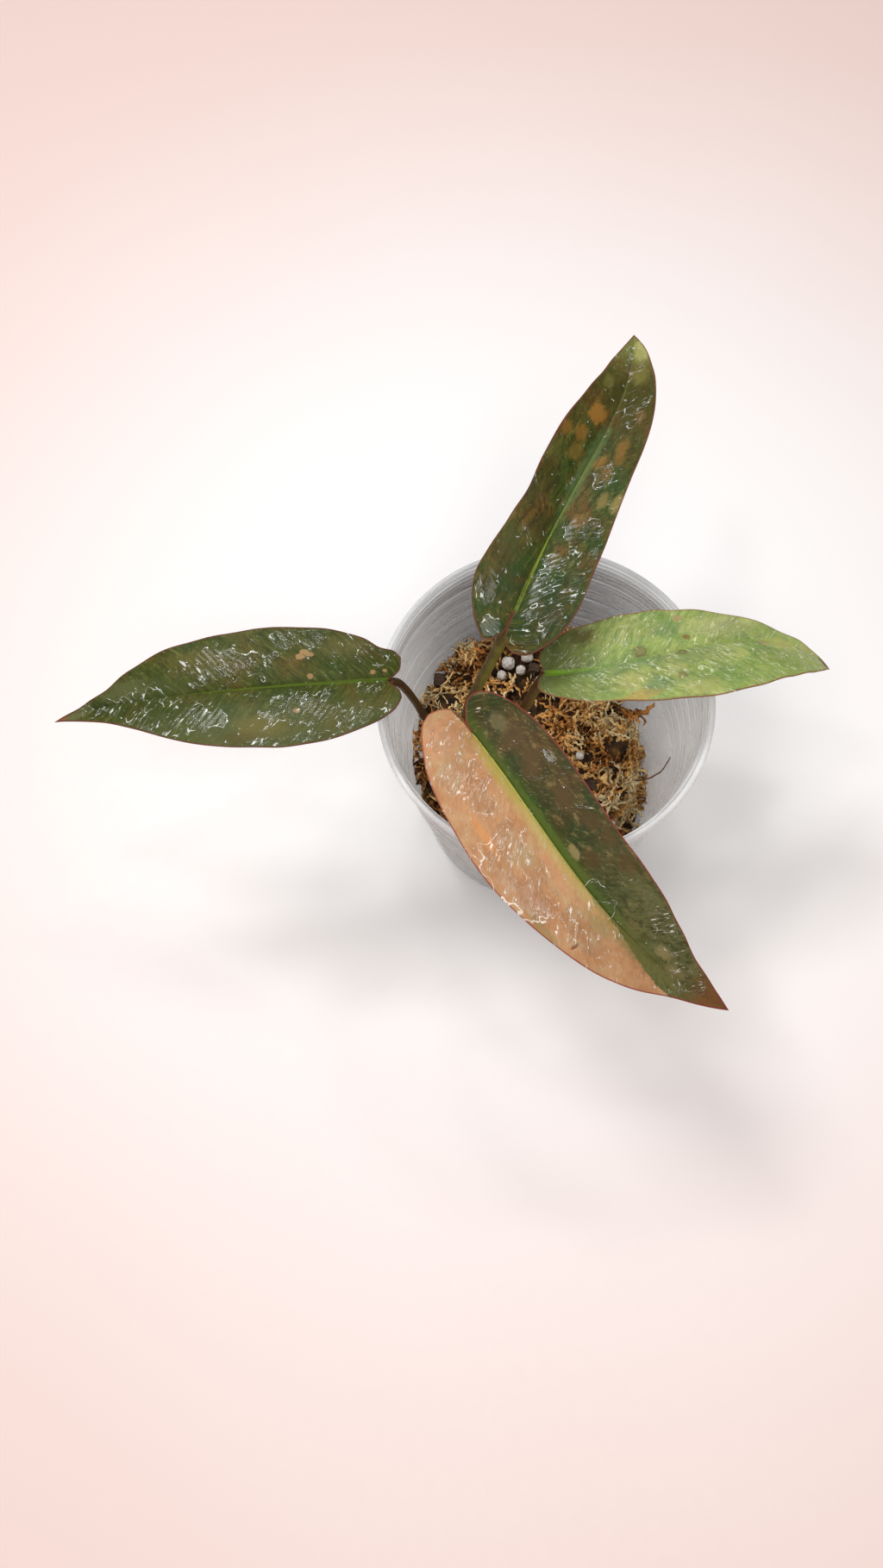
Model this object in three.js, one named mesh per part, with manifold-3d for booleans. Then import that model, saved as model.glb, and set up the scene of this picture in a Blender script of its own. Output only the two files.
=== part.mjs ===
// A philodendron with four long leaves, growing from a creeping stem in a pot of moss.
// Millimetres, +Z up. The origin is the centre of the pot's underside.
import * as THREE from 'three';
import { mergeVertices } from 'three/addons/utils/BufferGeometryUtils.js';
import Module from 'manifold-3d';

// Gap kept between pieces that touch
const GAP = 0.3;

// Rods: how far an end stands out, as a share of the radius, and the sides and steps of each kind
const ROD_END_ROUND = 0.4;
const STEM_DETAIL = { sides: 12, steps: 18 };
const ROOT_DETAIL = { sides: 7, steps: 9 };
const FIBRE_DETAIL = { sides: 6, steps: 12 };
const PETIOLE_DETAIL = { sides: 10, steps: 14 };

// Pot
const POT_HEIGHT = 106;
const RIM_RADIUS = 59;
const RIM_BAND = 4.2;
const RIM_LEDGE = 2;
const RIM_EDGE = 0.6;
const BASE_RADIUS = 46.5;
const WALL = 1;
const FLOOR = 1.4;
const FOOT_CHAMFER = 1.5;
const RIB_HEIGHTS = [53, 67, 81, 95];
const RIB_DEPTH = 0.5;
const RIB_HALF_WIDTH = 0.9;
const POT_SEGMENTS = 48;
const DRAIN_RADIUS = 2.5;
const DRAIN_RING = 31;
const DRAIN_COUNT = 8;
const DRAIN_SIDES = 10;

// Moss: where its shoulder and its foot lie, going round the pot
const MOSS_TOP = 60;
const MOSS_SEGMENTS = 40;
const MOSS_WALL_GAP = 0.4;
const MOSS_ROUND = [
  { azimuth: 0, shoulder: 36, height: 54, foot: 14 },
  { azimuth: 40, shoulder: 36, height: 56, foot: 20 },
  { azimuth: 85, shoulder: 42, height: 59, foot: 53 },
  { azimuth: 130, shoulder: 42, height: 62, foot: 58 },
  { azimuth: 160, shoulder: 38, height: 60, foot: 52 },
  { azimuth: 185, shoulder: 34, height: 57, foot: 42 },
  { azimuth: 230, shoulder: 32, height: 55, foot: 34 },
  { azimuth: 280, shoulder: 30, height: 54, foot: 24 },
  { azimuth: 325, shoulder: 31, height: 52, foot: 14 },
];
const MOSS_FOOT_STEP = 2;
const MOSS_FULL_FOOT = 50;
const MOSS_GAP_SLOPE = 6;
const MOSS_WIDEST_GAP = 6;
const MOSS_LUMP = 1.2;

// Moss surface: shares of the shoulder's radius and of its drop, then of the flank's run and its drop
const MOSS_CROWN = [[0, 0], [0.3, 0], [0.65, 0.4], [1, 1]];
const MOSS_FLANK = [[0.65, 0.4], [1, 1]];

// Loose tufts of moss: how uneven and how high they stand, their place on the bed and half sizes
const TUFT_UNEVENNESS = 0.14;
const TUFT_STAND = 0.1;
const TUFTS = {
  right: { at: [27, 4], size: [9, 10, 6] },
  front_right: { at: [30, -14], size: [6, 5.5, 5] },
  middle: { at: [12, 11], size: [8, 6, 5] },
  back: { at: [7, 43], size: [8, 4.5, 5] },
  rear_left: { at: [-27, 32], size: [8, 6, 5.5] },
  left: { at: [-36, 15], size: [6.5, 7, 5] },
};

// Stem and roots
const STEM_RADIUS = 4.2;
const STEM_PATH = [[-41, 0, 53], [-31, 0, 57], [-20, -2, 58.5], [-8, -1, 58]];
const STEM_NODES = [-38, -30, -24, -12];
const STEM_NODE_SWELL = 0.5;
const STEM_NODE_WIDTH = 1.2;
const STEM_BACK = { radius: 0.55, growth: 5 };
const STEM_TIP = { radius: 0.45, growth: 6 };
const ROOTS = [
  { path: [[-36, 0, 55], [-38, -4, 46], [-33, -14, 34], [-30, -16, 20]], radius: 1.5 },
  { path: [[-29, 0, 56], [-27, 8, 44], [-31, 18, 32], [-26, 24, 18]], radius: 1.6 },
  { path: [[-20, -2, 57], [-16, -10, 44], [-8, -20, 30], [-4, -24, 14]], radius: 1.5 },
  { path: [[-12, -1, 57], [-4, 6, 44], [8, 10, 30], [16, 8, 14]], radius: 1.4 },
];
const ROOT_END_RADIUS = 0.7;
const FIBRE = { path: [[33, -6, 41], [43, -7, 48], [47.5, -5, 52], [50, -1.5, 58]], radius: 0.5 };

// Petioles: from their node on the stem to the leaf
const PETIOLES = {
  rear: {
    path: [[-30, 0, 57], [-27.5, 8, 75], [-23.5, 11, 90], [-18, 12, 114], [-11.8, 15.5, 137.8]],
    radius: 2.1,
  },
  left: {
    path: [[-37.5, 0, 54], [-43, 1, 74], [-46.5, 0.5, 94], [-50.5, -2, 114], [-53, -5.8, 123.6]],
    radius: 1.5,
  },
  right: {
    path: [[-12, -1, 58], [-8.5, 4.5, 73], [-5.5, 5.5, 88], [-2.5, 3.5, 108], [-0.5, 3, 116.6]],
    radius: 1.95,
  },
  front: {
    path: [[-24, -1.5, 58], [-27, -12, 86], [-26.5, -21, 116], [-22.8, -28.7, 138.8]],
    radius: 1.8,
  },
};
const SHEATH_SWELL = 0.35;
const SHEATH_SHARE = 0.22;
const HEAD_ROOM = 4;

// Leaf blades. Each outline is in millimetres along the midrib, from the petiole, and across it:
// minus is left of it, seen from above with the tip ahead, and behind the petiole lie two lobes
const BLADE_THICKNESS = 0.8;
const CHANNEL_RISE = 1;
const CHANNEL_WIDTH = 3;
const BLADE_CUP = 0.0045;
const LOBE_DROOP = 0.012;
const VEIN_SWEEP = 5;
const LOBE_ROWS = 5;
const BLADE_ROWS = 15;
const BLADE_COLUMNS = 4;
const MARGIN_SAMPLES = 200;
const MIDRIB_SAMPLES = 400;
const LEAVES = {
  rear: {
    midrib: [[-12, 15, 139], [9, 73, 157], [22, 77, 157], [22, 117, 151]],
    roll: [4, 4],
    fold: { left: [8, 30, 8], right: [8, 8, 8] },
    colour: 0x4b5532,
    left: {
      sinus: [[-2.5, -1], [-7, -0.8], [-11, -3.5], [-12.5, -6.5]],
      margin: [[-8, -11], [-1, -15], [6.5, -17], [15.5, -16], [26.5, -14], [37.5, -12.6], [48.5, -13.2],
        [61.5, -13], [72.5, -11.8], [84.5, -9.5], [97, -6]],
    },
    right: {
      sinus: [[-3.5, -0.5], [-7.7, -0.2], [-11.5, 1.8], [-13, 4.6]],
      margin: [[-12, 9], [-6.5, 14], [0.5, 17.5], [8.5, 18.9], [19.5, 18.6], [31.5, 18], [44.5, 16.5],
        [56.5, 15], [69.5, 13.5], [82.5, 11], [94.5, 7.5], [103.5, 4]],
    },
  },
  left: {
    midrib: [[-53, -6, 125], [-109, -20, 142], [-153, -19, 120], [-169, -23, 110]],
    roll: [-3, -9],
    fold: { left: [8, 8, 6], right: [12, 10, 8] },
    colour: 0x47562f,
    left: {
      sinus: [[-1, -1.7], [-2.9, -4.1], [-3.4, -7]],
      margin: [[-1, -10.7], [4, -14.2], [12, -17.6], [23, -20.5], [35, -21.6], [48, -20.6], [61, -18.6],
        [73, -15], [86, -10], [98, -6], [109, -3.4]],
    },
    right: {
      sinus: [[-2.4, 1.4], [-4.5, 3.6], [-5, 7]],
      margin: [[-3, 9.4], [2.5, 11.1], [7.5, 14.3], [15, 17], [27, 19], [41, 19.6], [54, 18.6], [67, 17],
        [78, 14.4], [88, 10], [98, 5], [108.5, 1.8]],
    },
  },
  right: {
    midrib: [[-1, 3, 118], [28, 0, 127], [69, 30, 129], [99, 19, 101]],
    roll: [0, -22],
    fold: { left: [10, 0, -14], right: [10, 8, 6] },
    colour: 0x77944f,
    left: {
      sinus: [[-1, -2], [-2, -3.9], [-2.1, -5.6]],
      margin: [[-1, -8.4], [2.5, -11.4], [9.5, -14.5], [18.5, -16.4], [31.5, -17.5], [43.5, -17], [56, -15.1],
        [67, -12.5], [78, -9.1], [88.5, -5.6], [98.5, -2.9]],
    },
    right: {
      sinus: [[-0.6, 1], [-1.4, 2.8], [-1.1, 4.6]],
      margin: [[0, 7], [5.5, 10], [13.5, 12.6], [25, 15.6], [37, 19], [48, 21.3], [58, 21.9], [69, 20.5],
        [80, 17.4], [91, 12.9], [101.5, 6.5]],
    },
  },
  front: {
    midrib: [[-23, -29, 140], [6, -65, 147], [21, -94, 138], [64, -104, 105]],
    roll: [-2, 7],
    fold: { left: [14, 18, 10], right: [8, 6, 6] },
    colour: 0x9a7a55,
    left: {
      sinus: [[-4.3, -0.9], [-7.5, -2.8], [-10.4, -5.5], [-11, -8.5]],
      margin: [[-9, -11.5], [-3.5, -14.5], [5.5, -17], [17, -18.4], [30, -18.5], [43.5, -18], [56, -17.6],
        [70.5, -17], [82.5, -15], [94.5, -11.5], [105.5, -7.6], [116.5, -4]],
    },
    right: {
      sinus: [[-6.8, -0.8], [-12, 0.2], [-14, 3.6], [-14, 7.5]],
      margin: [[-11, 11.6], [-3.5, 16.1], [5.5, 20], [16.5, 22.2], [28.5, 23.2], [40.5, 23.4], [53.5, 21.6],
        [67, 18.6], [80, 15.4], [92, 11.1], [103.5, 6.1], [114.5, 3.2]],
    },
  },
};

// Pumice lumps: how uneven and how high they stand, their place on the moss and half sizes
const PUMICE_UNEVENNESS = 0.12;
const PUMICE_STAND = 0.35;
const PUMICE = [
  { at: [-14.3, 32.5], size: [2.5, 2.4, 2.3] },
  { at: [-9.2, 30], size: [1.8, 1.7, 1.6] },
  { at: [-16.5, 27], size: [1.9, 1.8, 1.7] },
  { at: [-7, 35.5], size: [2.2, 1.6, 1.6] },
  { at: [-1.5, 27], size: [1.5, 1.4, 1.3] },
  { at: [-45.4, -3], size: [1.5, 1.4, 1.3] },
  { at: [30.5, -22], size: [1.7, 1.5, 1.5] },
  { at: [15.5, -3.5], size: [1.5, 1.5, 1.4] },
];

// Bark chips: how high they stand, their place on the moss, sizes and turn in radians
const BARK_STAND = 0.1;
const BARK = [
  { at: [-4, 31.8], size: [5, 3, 2.2], turn: 0.5 },
  { at: [-41, 25.5], size: [6, 3.4, 2.2], turn: 1.1 },
  { at: [20.5, -13.5], size: [5.5, 3.2, 2.2], turn: -0.4 },
];

// Colours
const FROSTED = 0xc9ced3;
const DRY_MOSS = 0x9a7440;
const STRAW_MOSS = 0xb8935a;
const STEM_GREEN = 0x5d5a2e;
const PETIOLE_GREEN = 0x55502c;
const PETIOLE_MAROON = 0x3f2a1c;
const ROOT_TAN = 0x8a6a45;
const FIBRE_BROWN = 0x40301f;
const PUMICE_WHITE = 0xd9d2c8;
const BARK_BROWN = 0x3a2a1e;

const wasm = await Module();
wasm.setup();

const plant = new THREE.Group();

function add(name, geometry, colour, roughness) {
  geometry.computeVertexNormals();
  const material = new THREE.MeshStandardMaterial({ color: colour, roughness, metalness: 0 });
  const mesh = new THREE.Mesh(geometry, material);
  mesh.name = name;
  plant.add(mesh);
}

// Solids and geometries

function toSolid(geometry) {
  const bare = geometry.clone();
  bare.deleteAttribute('normal');
  bare.deleteAttribute('uv');
  const merged = mergeVertices(bare, 1e-4);
  return new wasm.Manifold(new wasm.Mesh({
    numProp: 3,
    vertProperties: new Float32Array(merged.attributes.position.array),
    triVerts: new Uint32Array(merged.index.array),
  }));
}

function toGeometry(solid) {
  const mesh = solid.getMesh();
  const geometry = new THREE.BufferGeometry();
  geometry.setAttribute('position', new THREE.BufferAttribute(mesh.vertProperties, 3));
  geometry.setIndex(new THREE.BufferAttribute(mesh.triVerts, 1));
  return geometry;
}

// The largest of the bodies that a cut leaves
function largest(solid) {
  return solid.decompose().reduce((best, one) => (one.volume() > best.volume() ? one : best));
}

// A closed skin over rings of points, drawn to a point at both ends
function skin(rings, firstPole, lastPole) {
  const points = [firstPole, ...rings.flat(), lastPole];
  const sides = rings[0].length;
  const last = points.length - 1;
  const faces = [];
  for (let i = 0; i < sides; i += 1) {
    const next = (i + 1) % sides;
    faces.push(0, 1 + next, 1 + i);
    for (let k = 0; k < rings.length - 1; k += 1) {
      const low = 1 + k * sides;
      const high = low + sides;
      faces.push(low + i, low + next, high + next, low + i, high + next, high + i);
    }
    faces.push(last, last - sides + i, last - sides + next);
  }
  const geometry = new THREE.BufferGeometry().setFromPoints(points);
  geometry.setIndex(faces);
  return geometry;
}

// A round rod along a path, whose radius changes on the way, grown all over by a gap or by nothing
function rod(path, radiusAt, { sides, steps }, grow) {
  const curve = new THREE.CatmullRomCurve3(path.map((point) => new THREE.Vector3(...point)));
  const frames = curve.computeFrenetFrames(steps, false);
  const rings = [];
  for (let k = 0; k <= steps; k += 1) {
    const centre = curve.getPointAt(k / steps);
    const radius = radiusAt(k / steps, centre) + grow;
    const ring = [];
    for (let i = 0; i < sides; i += 1) {
      const angle = (2 * Math.PI * i) / sides;
      ring.push(centre.clone()
        .addScaledVector(frames.normals[k], radius * Math.cos(angle))
        .addScaledVector(frames.binormals[k], radius * Math.sin(angle)));
    }
    rings.push(ring);
  }
  const start = curve.getPointAt(0);
  const end = curve.getPointAt(1);
  const startRound = ROD_END_ROUND * radiusAt(0, start) + grow;
  const endRound = ROD_END_ROUND * radiusAt(1, end) + grow;
  start.addScaledVector(frames.tangents[0], -startRound);
  end.addScaledVector(frames.tangents[steps], endRound);
  return skin(rings, start, end);
}

// An uneven lump, the same every time for the same seed
function lump(size, seed, detail, unevenness, grow = 0) {
  const geometry = new THREE.IcosahedronGeometry(1, detail);
  const position = geometry.attributes.position;
  const [a, b, c] = size;
  for (let i = 0; i < position.count; i += 1) {
    const [x, y, z] = [position.getX(i), position.getY(i), position.getZ(i)];
    const wave = Math.sin(3.1 * x + seed) + Math.sin(4.3 * y + 2.3 * seed) + Math.sin(3.7 * z + 1.7 * seed);
    const swell = 1 + (unevenness * wave) / 3;
    position.setXYZ(i, x * (a * swell + grow), y * (b * swell + grow), z * (c * swell + grow));
  }
  return geometry;
}

// Pot

function outerRadius(height) {
  const top = POT_HEIGHT - RIM_BAND;
  return BASE_RADIUS + ((RIM_RADIUS - RIM_LEDGE - BASE_RADIUS) * height) / top;
}

function innerRadius(height) {
  return outerRadius(height) - WALL;
}

function potProfile() {
  const points = [[0, 0], [BASE_RADIUS - FOOT_CHAMFER, 0], [outerRadius(FOOT_CHAMFER), FOOT_CHAMFER]];
  for (const height of RIB_HEIGHTS) {
    points.push([outerRadius(height - RIB_HALF_WIDTH), height - RIB_HALF_WIDTH]);
    points.push([outerRadius(height) + RIB_DEPTH, height]);
    points.push([outerRadius(height + RIB_HALF_WIDTH), height + RIB_HALF_WIDTH]);
  }
  const bandFoot = POT_HEIGHT - RIM_BAND;
  points.push([outerRadius(bandFoot), bandFoot]);
  points.push([RIM_RADIUS - RIM_EDGE, bandFoot]);
  points.push([RIM_RADIUS, bandFoot + RIM_EDGE]);
  points.push([RIM_RADIUS, POT_HEIGHT - RIM_EDGE]);
  points.push([RIM_RADIUS - RIM_EDGE, POT_HEIGHT]);
  points.push([innerRadius(POT_HEIGHT) + RIM_EDGE, POT_HEIGHT]);
  points.push([innerRadius(POT_HEIGHT - RIM_EDGE), POT_HEIGHT - RIM_EDGE]);
  points.push([innerRadius(FLOOR), FLOOR]);
  points.push([0, FLOOR]);
  return points.map(([radius, height]) => new THREE.Vector2(radius, height));
}

function turned(profile, segments) {
  const geometry = new THREE.LatheGeometry(profile, segments);
  geometry.rotateX(Math.PI / 2);
  return geometry;
}

function pot() {
  let solid = toSolid(turned(potProfile(), POT_SEGMENTS));
  for (let i = 0; i < DRAIN_COUNT; i += 1) {
    const angle = (2 * Math.PI * (i + 0.5)) / DRAIN_COUNT;
    const drain = new THREE.CylinderGeometry(DRAIN_RADIUS, DRAIN_RADIUS, 4 * FLOOR, DRAIN_SIDES);
    drain.rotateX(Math.PI / 2);
    drain.translate(DRAIN_RING * Math.cos(angle), DRAIN_RING * Math.sin(angle), FLOOR / 2);
    solid = solid.subtract(toSolid(drain));
  }
  return toGeometry(solid);
}

// Moss bed

// A value of the moss at an azimuth in degrees, eased from one entry of MOSS_ROUND to the next
function mossValue(key, azimuth) {
  const angle = ((azimuth % 360) + 360) % 360;
  const count = MOSS_ROUND.length;
  const from = MOSS_ROUND.findLastIndex((entry) => entry.azimuth <= angle);
  const to = (from + 1) % count;
  const span = ((MOSS_ROUND[to].azimuth - MOSS_ROUND[from].azimuth + 360) % 360);
  const share = THREE.MathUtils.smoothstep((angle - MOSS_ROUND[from].azimuth) / span, 0, 1);
  return THREE.MathUtils.lerp(MOSS_ROUND[from][key], MOSS_ROUND[to][key], share);
}

// Radius and height of the moss surface at one azimuth, from the middle out to the foot
function mossSection(azimuth) {
  const shoulder = mossValue('shoulder', azimuth);
  const height = mossValue('height', azimuth);
  const foot = mossValue('foot', azimuth);
  const apart = THREE.MathUtils.clamp((MOSS_FULL_FOOT - foot) / MOSS_GAP_SLOPE, 0, MOSS_WIDEST_GAP);
  const edge = innerRadius(foot) - MOSS_WALL_GAP - apart;
  return [
    ...MOSS_CROWN.map(([run, drop]) => [shoulder * run, MOSS_TOP - (MOSS_TOP - height) * drop]),
    ...MOSS_FLANK.map(([run, drop]) => [shoulder + (edge - shoulder) * run, height - (height - foot) * drop]),
  ];
}

function mossHeight(x, y) {
  const section = mossSection(THREE.MathUtils.radToDeg(Math.atan2(y, x)));
  const radius = Math.hypot(x, y);
  const k = Math.max(1, section.findIndex((point) => point[0] >= radius));
  const [from, to] = [section[k - 1], section[k]];
  return THREE.MathUtils.mapLinear(radius, from[0], to[0], from[1], to[1]);
}

function mossBed() {
  const bottom = FLOOR + MOSS_WALL_GAP;
  const rounds = [];
  for (let i = 0; i < MOSS_SEGMENTS; i += 1) {
    const azimuth = (360 * i) / MOSS_SEGMENTS;
    const angle = THREE.MathUtils.degToRad(azimuth);
    const section = mossSection(azimuth).slice(1).reverse();
    const neck = section[0][1] - MOSS_FOOT_STEP;
    const profile = [bottom, neck].map((height) => [innerRadius(height) - MOSS_WALL_GAP, height]);
    section.forEach(([radius, height], k) => {
      const wave = k === 0 ? 0 : MOSS_LUMP * Math.sin(3 * azimuth - 2 * k) * Math.cos(angle * 7 - k);
      profile.push([radius, height + wave]);
    });
    rounds.push(profile.map(([radius, height]) => (
      new THREE.Vector3(radius * Math.cos(angle), radius * Math.sin(angle), height))));
  }
  const rings = rounds[0].map((_, k) => rounds.map((round) => round[k]));
  return skin(rings, new THREE.Vector3(0, 0, bottom), new THREE.Vector3(0, 0, MOSS_TOP));
}

// Stem, roots and petioles

function stem(grow = 0) {
  const radiusAt = (share, centre) => {
    const swells = STEM_NODES.map((x) => Math.exp(-(((centre.x - x) / STEM_NODE_WIDTH) ** 2)));
    const swell = swells.reduce((sum, one) => sum + one, 0);
    const back = STEM_BACK.radius + STEM_BACK.growth * share;
    const tip = STEM_TIP.radius + STEM_TIP.growth * (1 - share);
    return (STEM_RADIUS + STEM_NODE_SWELL * swell) * Math.min(1, back, tip);
  };
  return rod(STEM_PATH, radiusAt, STEM_DETAIL, grow);
}

function root({ path, radius }, grow = 0) {
  return rod(path, (share) => THREE.MathUtils.lerp(radius, ROOT_END_RADIUS, share), ROOT_DETAIL, grow);
}

function fibre(grow = 0) {
  return rod(FIBRE.path, () => FIBRE.radius, FIBRE_DETAIL, grow);
}

function petiole({ path, radius }, grow = 0) {
  const radiusAt = (share) => {
    const sheath = Math.max(0, 1 - share / SHEATH_SHARE);
    return radius * (1 + SHEATH_SWELL * sheath * sheath);
  };
  return rod(path, radiusAt, PETIOLE_DETAIL, grow);
}

// Leaf blades

// A value given at the base, the middle and the tip of a blade, eased between them
function along([base, middle, tip], share) {
  const bump = (4 * share * (1 - share)) ** 2;
  return base * (1 - share) + tip * share + (middle - (base + tip) / 2) * bump;
}

function bladeFrame(leaf) {
  const curve = new THREE.CubicBezierCurve3(...leaf.midrib.map((point) => new THREE.Vector3(...point)));
  curve.arcLengthDivisions = MIDRIB_SAMPLES;
  const length = curve.getLength();
  const up = new THREE.Vector3(0, 0, 1);
  const frameAt = (distance) => {
    const onMidrib = THREE.MathUtils.clamp(distance, 0, length);
    const share = onMidrib / length;
    const tangent = curve.getTangentAt(share);
    const side = new THREE.Vector3().crossVectors(tangent, up).normalize();
    const roll = -THREE.MathUtils.degToRad(THREE.MathUtils.lerp(leaf.roll[0], leaf.roll[1], share));
    side.applyAxisAngle(tangent, -roll);
    const normal = new THREE.Vector3().crossVectors(side, tangent);
    const centre = curve.getPointAt(share).addScaledVector(tangent, distance - onMidrib);
    return { centre, side, normal, share };
  };
  return { length, frameAt };
}

// The middle surface of a blade: channelled at the midrib, cupped beyond it, with drooping lobes
function bladePoint(leaf, frameAt, distance, across, offset) {
  const { centre, side, normal, share } = frameAt(distance);
  const out = Math.abs(across);
  const fold = THREE.MathUtils.degToRad(along(across < 0 ? leaf.fold.left : leaf.fold.right, share));
  const channel = CHANNEL_RISE * (1 - Math.exp(-out / CHANNEL_WIDTH));
  const rise = channel + Math.tan(fold) * out - BLADE_CUP * out ** 2;
  const droop = LOBE_DROOP * Math.min(distance, 0) ** 2;
  return centre.addScaledVector(side, across).addScaledVector(normal, rise - droop + offset);
}

function smoothLine(points) {
  const line = new THREE.CatmullRomCurve3(points.map(([x, y]) => new THREE.Vector3(x, y, 0)));
  line.arcLengthDivisions = MARGIN_SAMPLES;
  return line;
}

// Rows across one half of a blade, from the back of its lobe to the tip of the leaf
function halfRows(half, length, closedSinus) {
  const back = [...half.sinus[half.sinus.length - 1]];
  if (closedSinus) {
    back[0] -= 2 * GAP;
  }
  const sinus = closedSinus ? [[0, 0], [back[0], 0]] : [[0, 0], ...half.sinus];
  const inner = smoothLine(sinus);
  const start = closedSinus ? [back[0], 0] : back;
  const closing = closedSinus ? [back] : [];
  const outer = smoothLine([start, ...closing, ...half.margin, [length, 0]]);
  const samples = outer.getSpacedPoints(MARGIN_SAMPLES);
  const turn = samples.findIndex((point) => point.x > VEIN_SWEEP) / MARGIN_SAMPLES;
  const rows = [];
  for (let k = 0; k <= LOBE_ROWS + BLADE_ROWS; k += 1) {
    const inLobe = k <= LOBE_ROWS;
    const share = inLobe ? k / LOBE_ROWS : (k - LOBE_ROWS) / BLADE_ROWS;
    const from = inLobe ? inner.getPointAt(1 - share) : new THREE.Vector3(length * share, 0, 0);
    const to = outer.getPointAt(inLobe ? turn * share : turn + (1 - turn) * share);
    const row = [];
    for (let j = 0; j <= BLADE_COLUMNS; j += 1) {
      const point = from.clone().lerp(to, j / BLADE_COLUMNS);
      row.push([point.x, j === 0 && (closedSinus || !inLobe) ? 0 : point.y]);
    }
    rows.push(row);
  }
  return rows;
}

// A blade as a closed sheet between two offsets from its middle surface
function blade(leaf, below, above, closedSinus = false) {
  const { length, frameAt } = bladeFrame(leaf);
  const flat = [];
  const faces = [];
  const seen = new Map();
  const vertex = ([x, y]) => {
    const key = `${x.toFixed(3)},${y.toFixed(3)}`;
    if (!seen.has(key)) {
      seen.set(key, flat.length);
      flat.push([x, y]);
    }
    return seen.get(key);
  };
  const face = (a, b, c, flip) => {
    if (a !== b && b !== c && c !== a) {
      faces.push(flip ? [a, c, b] : [a, b, c]);
    }
  };
  for (const [side, flip] of [['left', true], ['right', false]]) {
    const rows = halfRows(leaf[side], length, closedSinus);
    for (let k = 0; k < rows.length - 1; k += 1) {
      for (let j = 0; j < rows[k].length - 1; j += 1) {
        const [a, b] = [vertex(rows[k][j]), vertex(rows[k][j + 1])];
        const [c, d] = [vertex(rows[k + 1][j + 1]), vertex(rows[k + 1][j])];
        face(a, b, c, flip);
        face(a, c, d, flip);
      }
    }
  }
  const count = flat.length;
  const points = [];
  for (const offset of [above, -below]) {
    for (const [x, y] of flat) {
      points.push(bladePoint(leaf, frameAt, x, y, offset));
    }
  }
  const edges = new Map();
  for (const [a, b, c] of faces) {
    for (const [from, to] of [[a, b], [b, c], [c, a]]) {
      if (!edges.delete(`${to},${from}`)) {
        edges.set(`${from},${to}`, [from, to]);
      }
    }
  }
  const index = [];
  for (const [a, b, c] of faces) {
    index.push(a, b, c, a + count, c + count, b + count);
  }
  for (const [from, to] of edges.values()) {
    index.push(from, from + count, to + count, from, to + count, to);
  }
  const geometry = new THREE.BufferGeometry().setFromPoints(points);
  geometry.setIndex(index);
  return geometry;
}

// Putting the plant together

const rooms = [];

// Cuts a piece by the room that the pieces before it take up, and keeps its own room for the next ones
function fit(shape, roomShape, cutters) {
  const solid = cutters.reduce((rest, cutter) => rest.subtract(cutter), toSolid(shape));
  rooms.push(toSolid(roomShape));
  return toGeometry(largest(solid));
}

add('pot', pot(), FROSTED, 0.35);

add('stem', fit(stem(), stem(GAP), []), STEM_GREEN, 0.6);
const stemRoom = rooms[0];

for (const [name, shape] of Object.entries(PETIOLES)) {
  const heads = [false, true].map((closedSinus) => (
    toSolid(blade(LEAVES[name], BLADE_THICKNESS / 2 + GAP, HEAD_ROOM, closedSinus))));
  const colour = name === 'left' ? PETIOLE_MAROON : PETIOLE_GREEN;
  add(`petiole_${name}`, fit(petiole(shape), petiole(shape, GAP), [stemRoom, ...heads]), colour, 0.5);
}
ROOTS.forEach((shape, i) => {
  add(`root_${i + 1}`, fit(root(shape), root(shape, GAP), [stemRoom]), ROOT_TAN, 0.85);
});
add('root_fibre', fit(fibre(), fibre(GAP), []), FIBRE_BROWN, 0.8);

// Lies a lump or chip on the moss, its middle a share of its half height above the surface
function settle(geometry, { at, size, turn = 0 }, stand) {
  geometry.rotateZ(turn);
  geometry.translate(at[0], at[1], mossHeight(at[0], at[1]) + size[2] * stand);
  return geometry;
}

PUMICE.forEach((piece, i) => {
  const [stone, room] = [0, GAP].map((grow) => (
    settle(lump(piece.size, 1.3 * i, 1, PUMICE_UNEVENNESS, grow), piece, PUMICE_STAND)));
  add(`pumice_${i + 1}`, fit(stone, room, []), PUMICE_WHITE, 0.9);
});
BARK.forEach((piece, i) => {
  const [chip, room] = [0, GAP].map((grow) => (
    settle(new THREE.BoxGeometry(...piece.size.map((side) => side + 2 * grow)), piece, BARK_STAND)));
  add(`bark_${i + 1}`, fit(chip, room, []), BARK_BROWN, 0.9);
});

// Each tuft makes room for what stands or lies in the moss, and the bed makes room for the tufts too
Object.entries(TUFTS).forEach(([name, tuft], i) => {
  const [clump, room] = [0, GAP].map((grow) => (
    settle(lump(tuft.size, i, 2, TUFT_UNEVENNESS, grow), tuft, TUFT_STAND)));
  add(`moss_tuft_${name}`, fit(clump, room, [...rooms]), STRAW_MOSS, 0.95);
});
add('moss_bed', fit(mossBed(), mossBed(), [...rooms]), DRY_MOSS, 0.95);

for (const [name, leaf] of Object.entries(LEAVES)) {
  add(`leaf_${name}`, blade(leaf, BLADE_THICKNESS / 2, BLADE_THICKNESS / 2), leaf.colour, 0.35);
}

export default plant;
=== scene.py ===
"""A young philodendron with four long leaves, in moss in a frosted nursery pot.

Metres, +Z up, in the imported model's frame. Sizes are written in millimetres, times MM.
"""
import math

import bpy
import numpy as np
from mathutils import Matrix, Vector
from mathutils.bvhtree import BVHTree
from mathutils.kdtree import KDTree
from mathutils.noise import noise


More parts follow.
